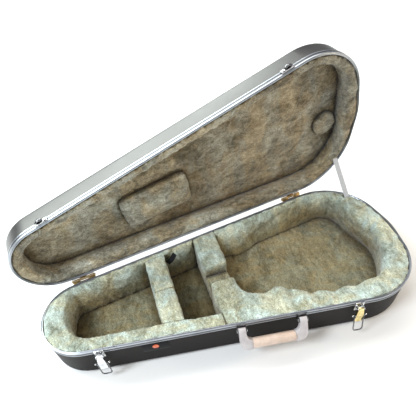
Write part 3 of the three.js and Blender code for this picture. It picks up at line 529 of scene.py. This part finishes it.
# ---- Geometry Nodes ----
class Tree:
    """A geometry node tree with named inputs, and a call that runs it on a mesh once."""

    def __init__(self, name, **inputs):
        self.tree = bpy.data.node_groups.new(name, "GeometryNodeTree")
        face = self.tree.interface
        face.new_socket("Geometry", in_out="INPUT", socket_type="NodeSocketGeometry")
        self.sockets = {}
        for label, kind in inputs.items():
            made = face.new_socket(label, in_out="INPUT", socket_type="NodeSocket" + kind)
            self.sockets[label] = made.identifier
        face.new_socket("Geometry", in_out="OUTPUT", socket_type="NodeSocketGeometry")
        self.inputs = self.tree.nodes.new("NodeGroupInput").outputs

    def node(self, kind, inputs=None, **settings):
        made = self.tree.nodes.new(kind)
        for key, value in settings.items():
            setattr(made, key, value)
        for key, value in (inputs or {}).items():
            if isinstance(value, bpy.types.NodeSocket):
                self.tree.links.new(value, made.inputs[key])
            else:
                made.inputs[key].default_value = value
        return made

    def finish(self, geometry):
        """Ends the tree in Realize Instances and Set Material."""
        whole = self.node("GeometryNodeRealizeInstances", {"Geometry": geometry})
        inputs = {"Geometry": whole.outputs[0], "Material": self.inputs["Material"]}
        painted = self.node("GeometryNodeSetMaterial", inputs)
        out = self.tree.nodes.new("NodeGroupOutput")
        self.tree.links.new(painted.outputs[0], out.inputs[0])

    def run(self, name, mesh, finish, **values):
        """Runs the tree on a mesh and gives a new plain object."""
        source = bpy.data.objects.new(name + "_source", mesh)
        bpy.context.scene.collection.objects.link(source)
        modifier = source.modifiers.new("nodes", "NODES")
        modifier.node_group = self.tree
        modifier[self.sockets["Material"]] = FINISHES[finish]
        for label, value in values.items():
            modifier[self.sockets[label]] = value
        depsgraph = bpy.context.evaluated_depsgraph_get()
        made_mesh = bpy.data.meshes.new_from_object(source.evaluated_get(depsgraph))
        source.modifiers.remove(modifier)
        bpy.data.objects.remove(source)
        made = bpy.data.objects.new(name, made_mesh)
        bpy.context.scene.collection.objects.link(made)
        return made


def rivet_tree():
    """A domed rivet on each vertex, with its axis along the vertex's facing."""
    tree = Tree("rivets", Radius="Float", Height="Float", Material="Material")
    profile = tree.node("GeometryNodeMeshUVSphere", {"Segments": 20, "Rings": 12, "Radius": 1.0})
    ratio = tree.node("ShaderNodeCombineXYZ", {
        "X": tree.inputs["Radius"], "Y": tree.inputs["Radius"], "Z": tree.inputs["Height"],
    })
    dome = tree.node("GeometryNodeTransform", {"Geometry": profile.outputs[0], "Scale": ratio.outputs[0]})
    smooth = tree.node("GeometryNodeSetShadeSmooth", {"Geometry": dome.outputs[0]})
    facing = tree.node("GeometryNodeInputNamedAttribute", {"Name": "facing"}, data_type="FLOAT_VECTOR")
    turn = tree.node("FunctionNodeAlignRotationToVector", {"Vector": facing.outputs[0]}, axis="Z")
    spots = tree.node("GeometryNodeInstanceOnPoints", {
        "Points": tree.inputs["Geometry"], "Instance": smooth.outputs[0], "Rotation": turn.outputs[0],
    })
    tree.finish(spots.outputs[0])
    return tree


def spots_mesh(places):
    """A mesh of loose vertices with a facing each, from (place, facing) pairs."""
    mesh = bpy.data.meshes.new("spots")
    mesh.from_pydata([tuple(place) for place, _ in places], [], [])
    facing = mesh.attributes.new("facing", "FLOAT_VECTOR", "POINT")
    facing.data.foreach_set("vector", [c for _, way in places for c in way])
    return mesh


RIVETS = rivet_tree()


def rivets(name, body, finish, places, radius, height):
    """Domed rivets at the places, as one piece that stands for no CAD node."""
    made = RIVETS.run(name, spots_mesh(places), finish, Radius=radius, Height=height)
    return settle(made, body, finish)


def on_face(frame_matrix, side, spots, out):
    """Places on a flank's outside, at (along, height) spots, a distance out from the outline."""
    way = (frame_matrix.to_3x3() @ Vector((0, side, 0))).normalized()
    return [(frame_matrix @ Vector((along, side * out, high)), way) for along, high in spots]


def sweep_tree():
    """Sweeps a closed profile round a closed path, and keeps how far along and round it each point is."""
    tree = Tree("rim_sweep", Profile="Object", Material="Material")
    path = tree.node("GeometryNodeMeshToCurve", {"Mesh": tree.inputs["Geometry"]})
    upright = tree.node("GeometryNodeSetCurveNormal", {"Curve": path.outputs[0]}, mode="Z_UP")
    profile = tree.node("GeometryNodeObjectInfo", {"Object": tree.inputs["Profile"]})
    section = tree.node("GeometryNodeMeshToCurve", {"Mesh": profile.outputs["Geometry"]})
    along = tree.node("GeometryNodeSplineParameter")
    kept_path = tree.node(
        "GeometryNodeCaptureAttribute", {"Geometry": upright.outputs[0]}, domain="POINT"
    )
    kept_path.capture_items.new("FLOAT", "along")
    tree.tree.links.new(along.outputs["Length"], kept_path.inputs[1])
    kept_section = tree.node(
        "GeometryNodeCaptureAttribute", {"Geometry": section.outputs[0]}, domain="POINT"
    )
    kept_section.capture_items.new("FLOAT", "round")
    tree.tree.links.new(along.outputs["Length"], kept_section.inputs[1])
    swept = tree.node(
        "GeometryNodeCurveToMesh", {"Curve": kept_path.outputs[0], "Profile Curve": kept_section.outputs[0]}
    )
    flat = tree.node("ShaderNodeCombineXYZ", {"X": kept_path.outputs[1], "Y": kept_section.outputs[1]})
    mapped = tree.node(
        "GeometryNodeStoreNamedAttribute",
        {"Geometry": swept.outputs[0], "Name": "UVMap", "Value": flat.outputs[0]},
        data_type="FLOAT2",
        domain="CORNER",
    )
    tree.finish(mapped.outputs[0])
    return tree


def loop_mesh(name, points):
    """A closed chain of edges."""
    mesh = bpy.data.meshes.new(name)
    count = len(points)
    mesh.from_pydata(points, [(i, (i + 1) % count) for i in range(count)], [])
    return mesh


# ---- Rims and shells ----
CHANNEL_DEPTH = 0.5 * MM
CHANNEL_START, CHANNEL_END = 2.9 * MM, 7.9 * MM
CHANNEL_SLOPE = 0.6 * MM
RIM_EDGE = 0.4 * MM
GROOVE_LEAD = 0.3 * MM


def rim_section(on_lid):
    """The rim's section as (inset, distance behind the mating face): a flange with a channel between two
    beads, and the web. The lid's has the tongue, the base's the groove that it goes into."""
    edge = RIM_EDGE
    lead = GROOVE_LEAD
    low = FLANGE_HEIGHT
    middle = RIM_WIDTH / 2
    floor_start, floor_end = CHANNEL_START + CHANNEL_SLOPE, CHANNEL_END - CHANNEL_SLOPE
    points = [(0, low - edge), (0, CHANNEL_END), (CHANNEL_DEPTH, floor_end)]
    points += [(CHANNEL_DEPTH, floor_start), (0, CHANNEL_START)]
    points += [(0, 1.2 * edge), (0.3 * edge, 0.3 * edge), (1.2 * edge, 0)]
    if on_lid:
        half = TONGUE_WIDTH / 2
        points += [(middle - half, 0), (middle - half, -TONGUE_HEIGHT + edge)]
        points += [(middle - half + edge, -TONGUE_HEIGHT), (middle + half - edge, -TONGUE_HEIGHT)]
        points += [(middle + half, -TONGUE_HEIGHT + edge), (middle + half, 0)]
    else:
        half = TONGUE_WIDTH / 2 + TONGUE_PLAY
        deep = TONGUE_HEIGHT + TONGUE_PLAY
        wide = half + 0.2 * MM
        points += [(middle - wide, 0), (middle - half, lead), (middle - half, deep)]
        points += [(middle + half, deep), (middle + half, lead), (middle + wide, 0)]
    points += [(RIM_WIDTH - edge, 0), (RIM_WIDTH, edge), (RIM_WIDTH, RIM_WEB)]
    points += [(FLANGE, RIM_WEB), (FLANGE, low), (edge, low)]
    return points


SWEEP = sweep_tree()


def make_rim(name, body, node, on_lid):
    """The section swept round the case by the node tree, with the lid's drawn upside down."""
    face = RIM_TOP + RIM_PARTING if on_lid else RIM_TOP
    way = -1 if on_lid else 1
    path = loop_mesh(name + "_path", [(x, y, face) for x, y in outline(0)])
    section = [(-inset, way * drop, 0) for inset, drop in rim_section(on_lid)]
    profile = bpy.data.objects.new(name + "_profile", loop_mesh(name + "_profile", section))
    bpy.context.scene.collection.objects.link(profile)
    rim = SWEEP.run(name, path, "rim_aluminium", Profile=profile)
    bpy.data.objects.remove(profile)
    bm = bmesh.new()
    bm.from_mesh(rim.data)
    bmesh.ops.recalc_face_normals(bm, faces=bm.faces)
    bm.to_mesh(rim.data)
    bm.free()
    rim.data.shade_smooth()
    rim.data.set_sharp_from_angle(angle=math.radians(28))
    if on_lid:
        rim.data.transform(ON_LID)
    return settle(rim, body, "rim_aluminium", node)


def arc_steps(inset, low, radius, steps=9):
    """A quarter round from a wall at this inset to a floor at this height."""
    turn = [math.pi / 2 * step / steps for step in range(steps + 1)]
    return [(inset + radius * (1 - math.cos(t)), low + radius * (1 - math.sin(t))) for t in turn]


def make_shell(name, body, node, depth, fillet, on_lid, finish):
    """A tray: outer wall, rounded foot and flat bottom, with the same inside a wall further in."""
    top = depth - RIM_WEB - CLEARANCE
    outer = [(SHELL_INSET, top)] + arc_steps(SHELL_INSET, 0, fillet)
    inner = [(SHELL_INSET + WALL, top)] + arc_steps(SHELL_INSET + WALL, WALL, fillet - WALL)
    section = outer[::-1] + inner
    bm = bmesh.new()
    rings = [[bm.verts.new((x, y, high)) for x, y in outline(inset)] for inset, high in section]
    count = len(rings[0])
    for lower, upper in zip(rings, rings[1:]):
        for i in range(count):
            k = (i + 1) % count
            bm.faces.new((lower[i], lower[k], upper[k], upper[i]))
    bm.faces.new(rings[0])
    bm.faces.new(rings[-1])
    bmesh.ops.recalc_face_normals(bm, faces=bm.faces)
    if on_lid:
        flip = Matrix.Translation((0, 0, SPLIT + depth)) @ Matrix.Rotation(math.pi, 4, "X")
        bmesh.ops.transform(bm, matrix=ON_LID @ flip, verts=bm.verts)
    return settle(from_bmesh(name, bm, finish, 40), body, "shell_black", node)


# ---- Padding ----
PILE = "pile"
VOXEL = 4.2 * MM
PIN_WITHIN = 2.4 * MM
CLOTH_STEPS = 20
PRESSURE = 4.0
HELD_BELOW = 0.05
TINY = 1e-9


def select_only(piece):
    bpy.ops.object.select_all(action="DESELECT")
    piece.select_set(True)
    bpy.context.view_layer.objects.active = piece


def apply_modifier(piece, kind, **settings):
    modifier = piece.modifiers.new(kind.lower(), kind)
    for key, value in settings.items():
        setattr(modifier, key, value)
    select_only(piece)
    bpy.ops.object.modifier_apply(modifier=modifier.name)


def points_of(piece):
    flat = np.empty(len(piece.data.vertices) * 3)
    piece.data.vertices.foreach_get("co", flat)
    return flat.reshape(-1, 3)


def set_points(piece, points):
    piece.data.vertices.foreach_set("co", points.ravel())
    piece.data.update()


def surroundings(nodes):
    """What a pad touches: every other CAD node's surface."""
    bm = bmesh.new()
    for name, node in frame["nodes"].items():
        if name not in nodes:
            bm.from_mesh(node.data)
    tree = BVHTree.FromBMesh(bm)
    bm.free()
    return tree


def even_directions(count):
    """Unit vectors spread evenly over a ball."""
    golden = math.pi * (3 - math.sqrt(5))
    directions = []
    for step in range(count):
        high = 1 - (2 * step + 1) / count
        reach = math.sqrt(1 - high * high)
        directions.append(Vector((reach * math.cos(golden * step), reach * math.sin(golden * step), high)))
    return directions


SPREAD = even_directions(14)
HOLLOW_REACH = 75 * MM
HOLLOW_START = 5 * MM


def mark_hollows(piece, walls):
    """Stores how closed in each point is by the walls round it, for the finish's painted shade in hollows and
    creases.
    """
    mark = piece.data.attributes.new("hollow", "FLOAT", "POINT")
    closed = []
    for vertex in piece.data.vertices:
        start = vertex.co + vertex.normal * HOLLOW_START
        total = 0.0
        for way in SPREAD:
            ray = vertex.normal * 1.02 + way
            hit = walls.ray_cast(start, ray.normalized(), HOLLOW_REACH)
            if hit[0] is not None:
                total += 1 - hit[3] / HOLLOW_REACH
        closed.append(total / len(SPREAD))
    mark.data.foreach_set("value", closed)


def body_walls(body):
    """All of a body's CAD surfaces."""
    bm = bmesh.new()
    for name, node in frame["nodes"].items():
        if name in frame["record"]["behaviour"]["bodies"][body]:
            bm.from_mesh(node.data)
    tree = BVHTree.FromBMesh(bm)
    bm.free()
    return tree


def free_share(piece, around):
    """For each vertex, 0 where the pad touches something, up to 1 where its face is free."""
    reach = 3 * PIN_WITHIN
    share = np.ones(len(piece.data.vertices))
    for index, vertex in enumerate(piece.data.vertices):
        near = around.find_nearest(vertex.co, reach)
        if near[0] is not None:
            share[index] = min(1.0, max(0.0, (near[3] - PIN_WITHIN) / (reach - PIN_WITHIN)))
    return share


def swell(piece, share):
    """Blows the pad up as cloth, held where it touches its neighbours."""
    group = piece.vertex_groups.new(name="held")
    for index, free in enumerate(share):
        if free < HELD_BELOW:
            group.add([index], 1.0, "REPLACE")
    cloth = piece.modifiers.new("cloth", "CLOTH")
    cloth.settings.quality = 5
    cloth.settings.mass = 0.3
    cloth.settings.tension_stiffness = 9
    cloth.settings.compression_stiffness = 9
    cloth.settings.shear_stiffness = 4
    cloth.settings.bending_stiffness = 0.4
    cloth.settings.use_pressure = True
    cloth.settings.uniform_pressure_force = PRESSURE
    cloth.settings.vertex_group_mass = "held"
    cloth.settings.effector_weights.gravity = 0
    cloth.collision_settings.use_collision = False
    cloth.collision_settings.use_self_collision = False
    cloth.point_cache.frame_start = 1
    cloth.point_cache.frame_end = CLOTH_STEPS
    for step in range(1, CLOTH_STEPS + 1):
        bpy.context.scene.frame_set(step)
    select_only(piece)
    bpy.ops.object.modifier_apply(modifier=cloth.name)
    bpy.context.scene.frame_set(1)
    piece.vertex_groups.clear()


def capped(start, end, limit):
    """Moves from start to end, with no vertex moved by more than its limit."""
    move = end - start
    far = np.linalg.norm(move, axis=1)
    reach = limit * np.tanh(far / np.maximum(limit, TINY))
    scale = np.where(far > 0, reach / np.maximum(far, TINY), 0)
    return start + move * scale[:, None]


def displaced(piece, texture_size, strength):
    """Pushes a pad's free faces in and out by soft noise."""
    texture = bpy.data.textures.new(PILE, "CLOUDS")
    texture.noise_scale = texture_size
    apply_modifier(
        piece, "DISPLACE", texture=texture, texture_coords="LOCAL", strength=strength, mid_level=0.5,
        vertex_group=PILE,
    )
    bpy.data.textures.remove(texture)


WALLS = {"base": body_walls("base"), "lid": body_walls("lid")}


LAP_BAND = 7 * MM
LAP_START = 11 * MM
LAP_UP = 2.3 * MM
LAP_IN = 1.5 * MM


def over_rim(piece, body, share):
    """Lets the plush stand up by the rim and lap its inner edge."""
    turn = ON_LID.to_3x3() if body == "lid" else Matrix.Identity(3)
    up = np.array(turn @ Vector((0, 0, -1 if body == "lid" else 1)))
    point = np.array(HINGE_POINT if body == "lid" else (0, 0, SPLIT))
    points = points_of(piece)
    flat = np.empty(len(points) * 3)
    piece.data.vertices.foreach_get("normal", flat)
    normals = flat.reshape(-1, 3)
    level = normals - (normals @ up)[:, None] * up
    near = np.clip(((points - point) @ up + LAP_START) / LAP_BAND, 0, 1)
    return points + up * (near * LAP_UP)[:, None] + level * (near * (1 - share) * LAP_IN)[:, None]


def pad(name, body, nodes, finish="plush_lining", cap=3.2 * MM, voxel=VOXEL, smooth=6,
        shape=None, extra=None):
    """A plush pad in place of its CAD solids: rounded, swollen as cloth, shaped, then given its pile."""
    bm = merged_copy(*nodes)
    if extra:
        extra(bm)
    piece = from_bmesh(name, bm, finish, 180)
    apply_modifier(piece, "REMESH", mode="VOXEL", voxel_size=voxel)
    around = surroundings(nodes)
    hard = points_of(piece)
    share = free_share(piece, around)
    apply_modifier(piece, "SMOOTH", factor=0.5, iterations=smooth)
    soft = points_of(piece)
    start = hard + (soft - hard) * share[:, None]
    set_points(piece, start)
    mark_hollows(piece, WALLS[body])
    swell(piece, share)
    set_points(piece, capped(start, points_of(piece), cap * share))
    if shape:
        set_points(piece, shape(points_of(piece), share))
    set_points(piece, over_rim(piece, body, share))
    group = piece.vertex_groups.new(name=PILE)
    for index, free in enumerate(share):
        group.add([index], float(free), "REPLACE")
    apply_modifier(piece, "SUBSURF", levels=1, render_levels=1)
    displaced(piece, 14 * MM, 3.6 * MM)
    displaced(piece, 4.5 * MM, 2.3 * MM)
    piece.vertex_groups.clear()
    piece.data.shade_smooth()
    settle(piece, body, "plush_lining", *nodes)
    return piece


# Each fold as (place along the case, depth, width) in millimetres.
FOLDS = ((58, 5, 12), (94, 6.5, 13), (134, 5.5, 13), (176, 6.5, 15), (220, 5.5, 15), (-38, 3, 9))


def body_shape(points, share):
    """Upright folds sewn into the body well's front pad, the raised pad at its wide end, and the swell of
    the rear pad beside the neck."""
    moved = points.copy()
    x, y, z = points[:, 0], points[:, 1], points[:, 2]
    top = np.clip((z - 36 * MM) / (30 * MM), 0, 1)
    front = np.clip(-y / (40 * MM), 0, 1)
    for place, deep, wide in FOLDS:
        sway = place * MM + 6 * MM * np.sin(y / (17 * MM) + place)
        crease = np.exp(-(((x - sway) / (wide * MM)) ** 2)) * deep * MM * top * front * share
        moved[:, 2] -= crease
        moved[:, 1] -= crease * 0.5
    raised = np.exp(-(((x - 262 * MM) / (36 * MM)) ** 2)) * front * top * share
    moved[:, 2] += raised * 3 * MM
    rear = np.clip((y - 50 * MM) / (20 * MM), 0, 1) * share
    swell_by_neck = np.exp(-(((x - 62 * MM) / (34 * MM)) ** 2)) * np.clip(1.3 - z / (75 * MM), 0, 1)
    moved[:, 1] -= rear * swell_by_neck * 16 * MM
    crease = np.exp(-(((z - 30 * MM - (x - 40 * MM) * 0.28) / (5 * MM)) ** 2))
    moved[:, 1] += rear * crease * 4 * MM * np.clip((x - 40 * MM) / (30 * MM), 0, 1)
    return moved


def lid_waves(points, share):
    """Long shallow waves in the lid's floor pad, where the plush was laid over foam."""
    moved = points.copy()
    x, z = points[:, 0], points[:, 2]
    along = x * 0.93 + z * 0.36
    across = z * 0.93 - x * 0.36
    wave = np.sin(across / (11 * MM) + np.sin(along / (48 * MM)) * 1.2) * 0.5 + 0.5
    moved[:, 1] += wave * 3.2 * MM * share
    return moved


def fill_wide_end(bm):
    """Closes the slit round the stay, which lies pressed into the plush, and thickens the rear pad where
    the outline turns in at the wide end."""
    low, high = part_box("stay_rivet_base")
    middle = (low + high) / 2
    size = Vector((22 * MM, 16 * MM, 62 * MM))
    made = bmesh.ops.create_cube(bm, size=1.0)
    place = Matrix.Translation((middle.x, middle.y - 4 * MM, 50 * MM))
    turn = Matrix.Rotation(FLANK_SLOPE, 4, "Z")
    bmesh.ops.transform(bm, matrix=place @ turn @ Matrix.Diagonal((*size, 1)), verts=made["verts"])
    outer, inner = outline(RIM_WIDTH + CLEARANCE), outline(22 * MM)
    turn_in = [i for i, (x, y) in enumerate(outer) if y > 0 and 244 * MM < x < 296 * MM]
    plan = [outer[i] for i in turn_in] + [inner[i] for i in reversed(turn_in)]
    low, high = ([bm.verts.new((x, y, z)) for x, y in plan] for z in (16 * MM, SPLIT - 2 * MM))
    for k in range(len(plan)):
        after = (k + 1) % len(plan)
        bm.faces.new((low[k], low[after], high[after], high[k]))
    bm.faces.new(low[::-1])
    bm.faces.new(high)


def make_lining():
    """Every pad in place of its CAD solids."""
    pad("plush_narrow_surround", "base",
        ["base_lining_front_narrow", "base_lining_narrow_end", "base_lining_rear_narrow"])
    pad("plush_body_surround", "base",
        ["neck_block_front", "base_lining_front_body", "base_lining_wide_end", "base_lining_rear_body"],
        smooth=7, shape=body_shape, extra=fill_wide_end)
    pad("plush_floor", "base", ["base_lining_floor"], cap=2.5 * MM, smooth=3)
    pad("plush_divider_rear", "base", ["divider_rear"], cap=3.5 * MM, voxel=4 * MM)
    pad("plush_divider_front", "base", ["divider_front"], cap=3.5 * MM, voxel=4 * MM)
    pad("plush_neck_rear", "base", ["neck_block_rear"], cap=3.5 * MM, voxel=4 * MM)
    pad("plush_neck_saddle", "base", ["neck_saddle"], cap=2 * MM, voxel=4 * MM, smooth=3)
    pad("plush_lid_surround", "lid",
        ["lid_lining_front", "lid_lining_rear", "lid_lining_narrow_end", "lid_lining_wide_end"],
        finish="plush_lid", smooth=5)
    pad("plush_lid_floor", "lid", ["lid_lining_floor"], finish="plush_lid", cap=2.5 * MM, smooth=3,
        shape=lid_waves)
    pad("plush_neck_pillow", "lid", ["lid_neck_pillow"], finish="plush_lid", cap=6 * MM, voxel=4 * MM,
        smooth=14)
    pad("plush_end_pad", "lid", ["lid_end_pad"], finish="plush_lid", cap=4 * MM, voxel=4 * MM)


# ---- Hardware ----
NARROW_HINGE_X = -HALF_LENGTH + 92 * MM
WIDE_HINGE_X = HALF_LENGTH - 159 * MM
NARROW_LATCH_X = -HALF_LENGTH + 97 * MM
WIDE_LATCH_X = HALF_LENGTH - 165 * MM
STAY_WIDTH = 12 * MM
STAY_THICKNESS = 1 * MM


def make_hinges():
    for end, x in (("narrow", NARROW_HINGE_X), ("wide", WIDE_HINGE_X)):
        for leaf, body in (("base_leaf", "base"), ("lid_leaf", "lid")):
            refined(f"hinge_{end}_{leaf}", body, "hinge_brass", 0.25 * MM)
        refined(f"hinge_{end}_pin", "base", "hinge_brass", 0.2 * MM)
        out = CLEARANCE + 1.5 * MM
        spots = [(along * MM, 70 * MM) for along in (-17, 0, 17)]
        rivets(f"hinge_{end}_base_rivets", "base", "hinge_brass",
               on_face(flank_frame(1, x), 1, spots, out), 2.3 * MM, 1.1 * MM)
        over = [(along, 2 * SPLIT - high) for along, high in spots]
        rivets(f"hinge_{end}_lid_rivets", "lid", "hinge_brass",
               on_face(ON_LID @ flank_frame(1, x), 1, over, out), 2.3 * MM, 1.1 * MM)


def widened_lever(spot):
    """Below its ears the lever flares to nearly the plate's width."""
    def shape(bm):
        back = spot.inverted()
        for vertex in bm.verts:
            local = back @ vertex.co
            below = (RIM_TOP - 16 * MM - local.z) / (7 * MM)
            local.x *= 1 + 0.42 * min(1.0, max(0.0, below))
            vertex.co = spot @ local
    return shape


def make_latches():
    for end, x in (("narrow", NARROW_LATCH_X), ("wide", WIDE_LATCH_X)):
        refined(f"latch_{end}_plate", "base", "chrome", 0.3 * MM)
        refined(f"latch_{end}_pivot_pin", "base", "chrome", 0.2 * MM)
        # The wide lever is chrome like the narrow one; its gold tint is a painted warm reflection.
        shine = "chrome_painted_warm" if end == "wide" else "chrome"
        refined(f"latch_{end}_lever", f"latch_{end}_lever_body", shine, 0.5 * MM, slot="chrome",
                shape=widened_lever(flank_frame(-1, x)))
        refined(f"latch_{end}_cross_pin", f"latch_{end}_lever_body", "chrome", 0, 42)
        # Bail and keeper are chrome; their dark colour is a painted reflection.
        refined(f"latch_{end}_bail", f"latch_{end}_bail_body", "chrome_painted_dark", 0, 50, slot="chrome")
        refined(f"latch_{end}_keeper", "lid", "chrome_painted_dark", 0.25 * MM, 42, slot="chrome")
        refined(f"latch_{end}_keeper_rivet", "lid", "chrome", 0.5 * MM)
        low = RIM_TOP - 24 * MM
        spots = [(-6 * MM, low + 3.4 * MM), (6 * MM, low + 3.4 * MM)]
        rivets(f"latch_{end}_plate_rivets", "base", "chrome",
               on_face(flank_frame(-1, x), -1, spots, PLATE_OUT), 1.5 * MM, 0.8 * MM)


def make_handle():
    for end in ("narrow", "wide"):
        refined(f"handle_end_{end}", "handle", "handle_plastic", 1.1 * MM, 40)
        # The bracket is chrome; its dark colour is a painted reflection.
        refined(f"handle_{end}_bracket", "base", "chrome_painted_dark", 0.3 * MM, slot="chrome")
        refined(f"handle_{end}_pin", "base", "chrome", 0.4 * MM)
    refined("handle_grip", "handle", "grip_vinyl", 1.2 * MM, 50)
    refined("handle_core", "handle", "chrome", 0.2 * MM)


def make_name_plate():
    refined("name_plate", "base", "plate_black", 0.3 * MM)
    refined("name_badge", "base", "badge_orange", 0.25 * MM)


def ribbon(name, body, finish, stops, across, thick, nodes=(), steps=10):
    """A flat strap through the stops, with a map that runs along and across it in metres."""
    points = []
    for start, end in zip(stops, stops[1:]):
        points += [start.lerp(end, step / steps) for step in range(steps)]
    points.append(stops[-1])
    bm = bmesh.new()
    grid = bm.loops.layers.uv.new("UVMap")
    rings = []
    travelled = 0.0
    for index, point in enumerate(points):
        ahead = points[min(index + 1, len(points) - 1)] - points[max(index - 1, 0)]
        out = ahead.cross(across).normalized() * thick / 2
        side = across / 2
        if index:
            travelled += (point - points[index - 1]).length
        corners = (point - side - out, point + side - out, point + side + out, point - side + out)
        rings.append(([bm.verts.new(c) for c in corners], travelled))
    width = across.length
    around = (0.0, width, width + thick, 2 * width + thick, 2 * width + 2 * thick)
    for (lower, near), (upper, far) in zip(rings, rings[1:]):
        for k in range(4):
            face = bm.faces.new((lower[k], lower[(k + 1) % 4], upper[(k + 1) % 4], upper[k]))
            for loop, spot in zip(face.loops, ((near, k), (near, k + 1), (far, k + 1), (far, k))):
                loop[grid].uv = (spot[0], around[spot[1]])
    bm.faces.new(rings[0][0])
    bm.faces.new(rings[-1][0][::-1])
    bmesh.ops.recalc_face_normals(bm, faces=bm.faces)
    return settle(from_bmesh(name, bm, finish, 50), body, finish, *nodes)


def make_stay():
    """The stay is three straps: a tail on each shell, and the free span."""
    for node, body in (("stay_rivet_base", "base"), ("stay_rivet_lid", "lid")):
        refined(node, body, "chrome", 0.6 * MM)
    along = Matrix.Rotation(FLANK_SLOPE, 3, "Z")
    across = along @ Vector((STAY_WIDTH, 0, 0))
    inward = along @ Vector((0, -0.8 * MM, 0))
    low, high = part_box("stay_rivet_base")
    foot = (low + high) / 2 + inward * 3
    base_end = Vector((foot.x, foot.y, SPLIT + 1 * MM))
    closed = Vector((foot.x, foot.y, SPLIT + 20 * MM))
    lid_end = ON_LID @ Vector((foot.x, foot.y, SPLIT + 1 * MM))
    lid_foot = ON_LID @ closed
    below = foot - Vector((0, 0, 4 * MM))
    ribbon("stay_tail_base", "base", "stay_webbing", [below, base_end], across, STAY_THICKNESS)
    ribbon("stay_tail_lid", "lid", "stay_webbing", [lid_end, lid_foot], across, STAY_THICKNESS)
    span = ribbon("stay_span", "base", "stay_webbing", [base_end, lid_end], across, STAY_THICKNESS,
                  ["stay_strap"])
    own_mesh(span)


def make_tab():
    """The pull tab: a folded black ribbon that leans out of the compartment's corner."""
    low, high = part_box("compartment_tab")
    foot = Vector((low.x + 3 * MM, high.y - 2 * MM, low.z + 4 * MM))
    tip = foot + Vector((19 * MM, 3 * MM, 19 * MM))
    across = Vector((6 * MM, -6 * MM, -6 * MM))
    ribbon("pull_tab", "base", "tab_black", [foot, foot.lerp(tip, 0.5) + Vector((0, -3 * MM, 0)), tip],
           across, 1.6 * MM, ["compartment_tab"], 4)


make_camera()
make_studio()
make_rim("rim_base", "base", "base_rim", False)
make_rim("rim_lid", "lid", "lid_rim", True)
make_shell("shell_base", "base", "base_shell", SPLIT, BASE_FILLET, False, "shell_black")
make_shell("shell_lid", "lid", "lid_shell", LID_DEPTH, LID_FILLET, True, "shell_lid")
make_hinges()
make_latches()
make_handle()
make_name_plate()
make_stay()
make_lining()
make_tab()
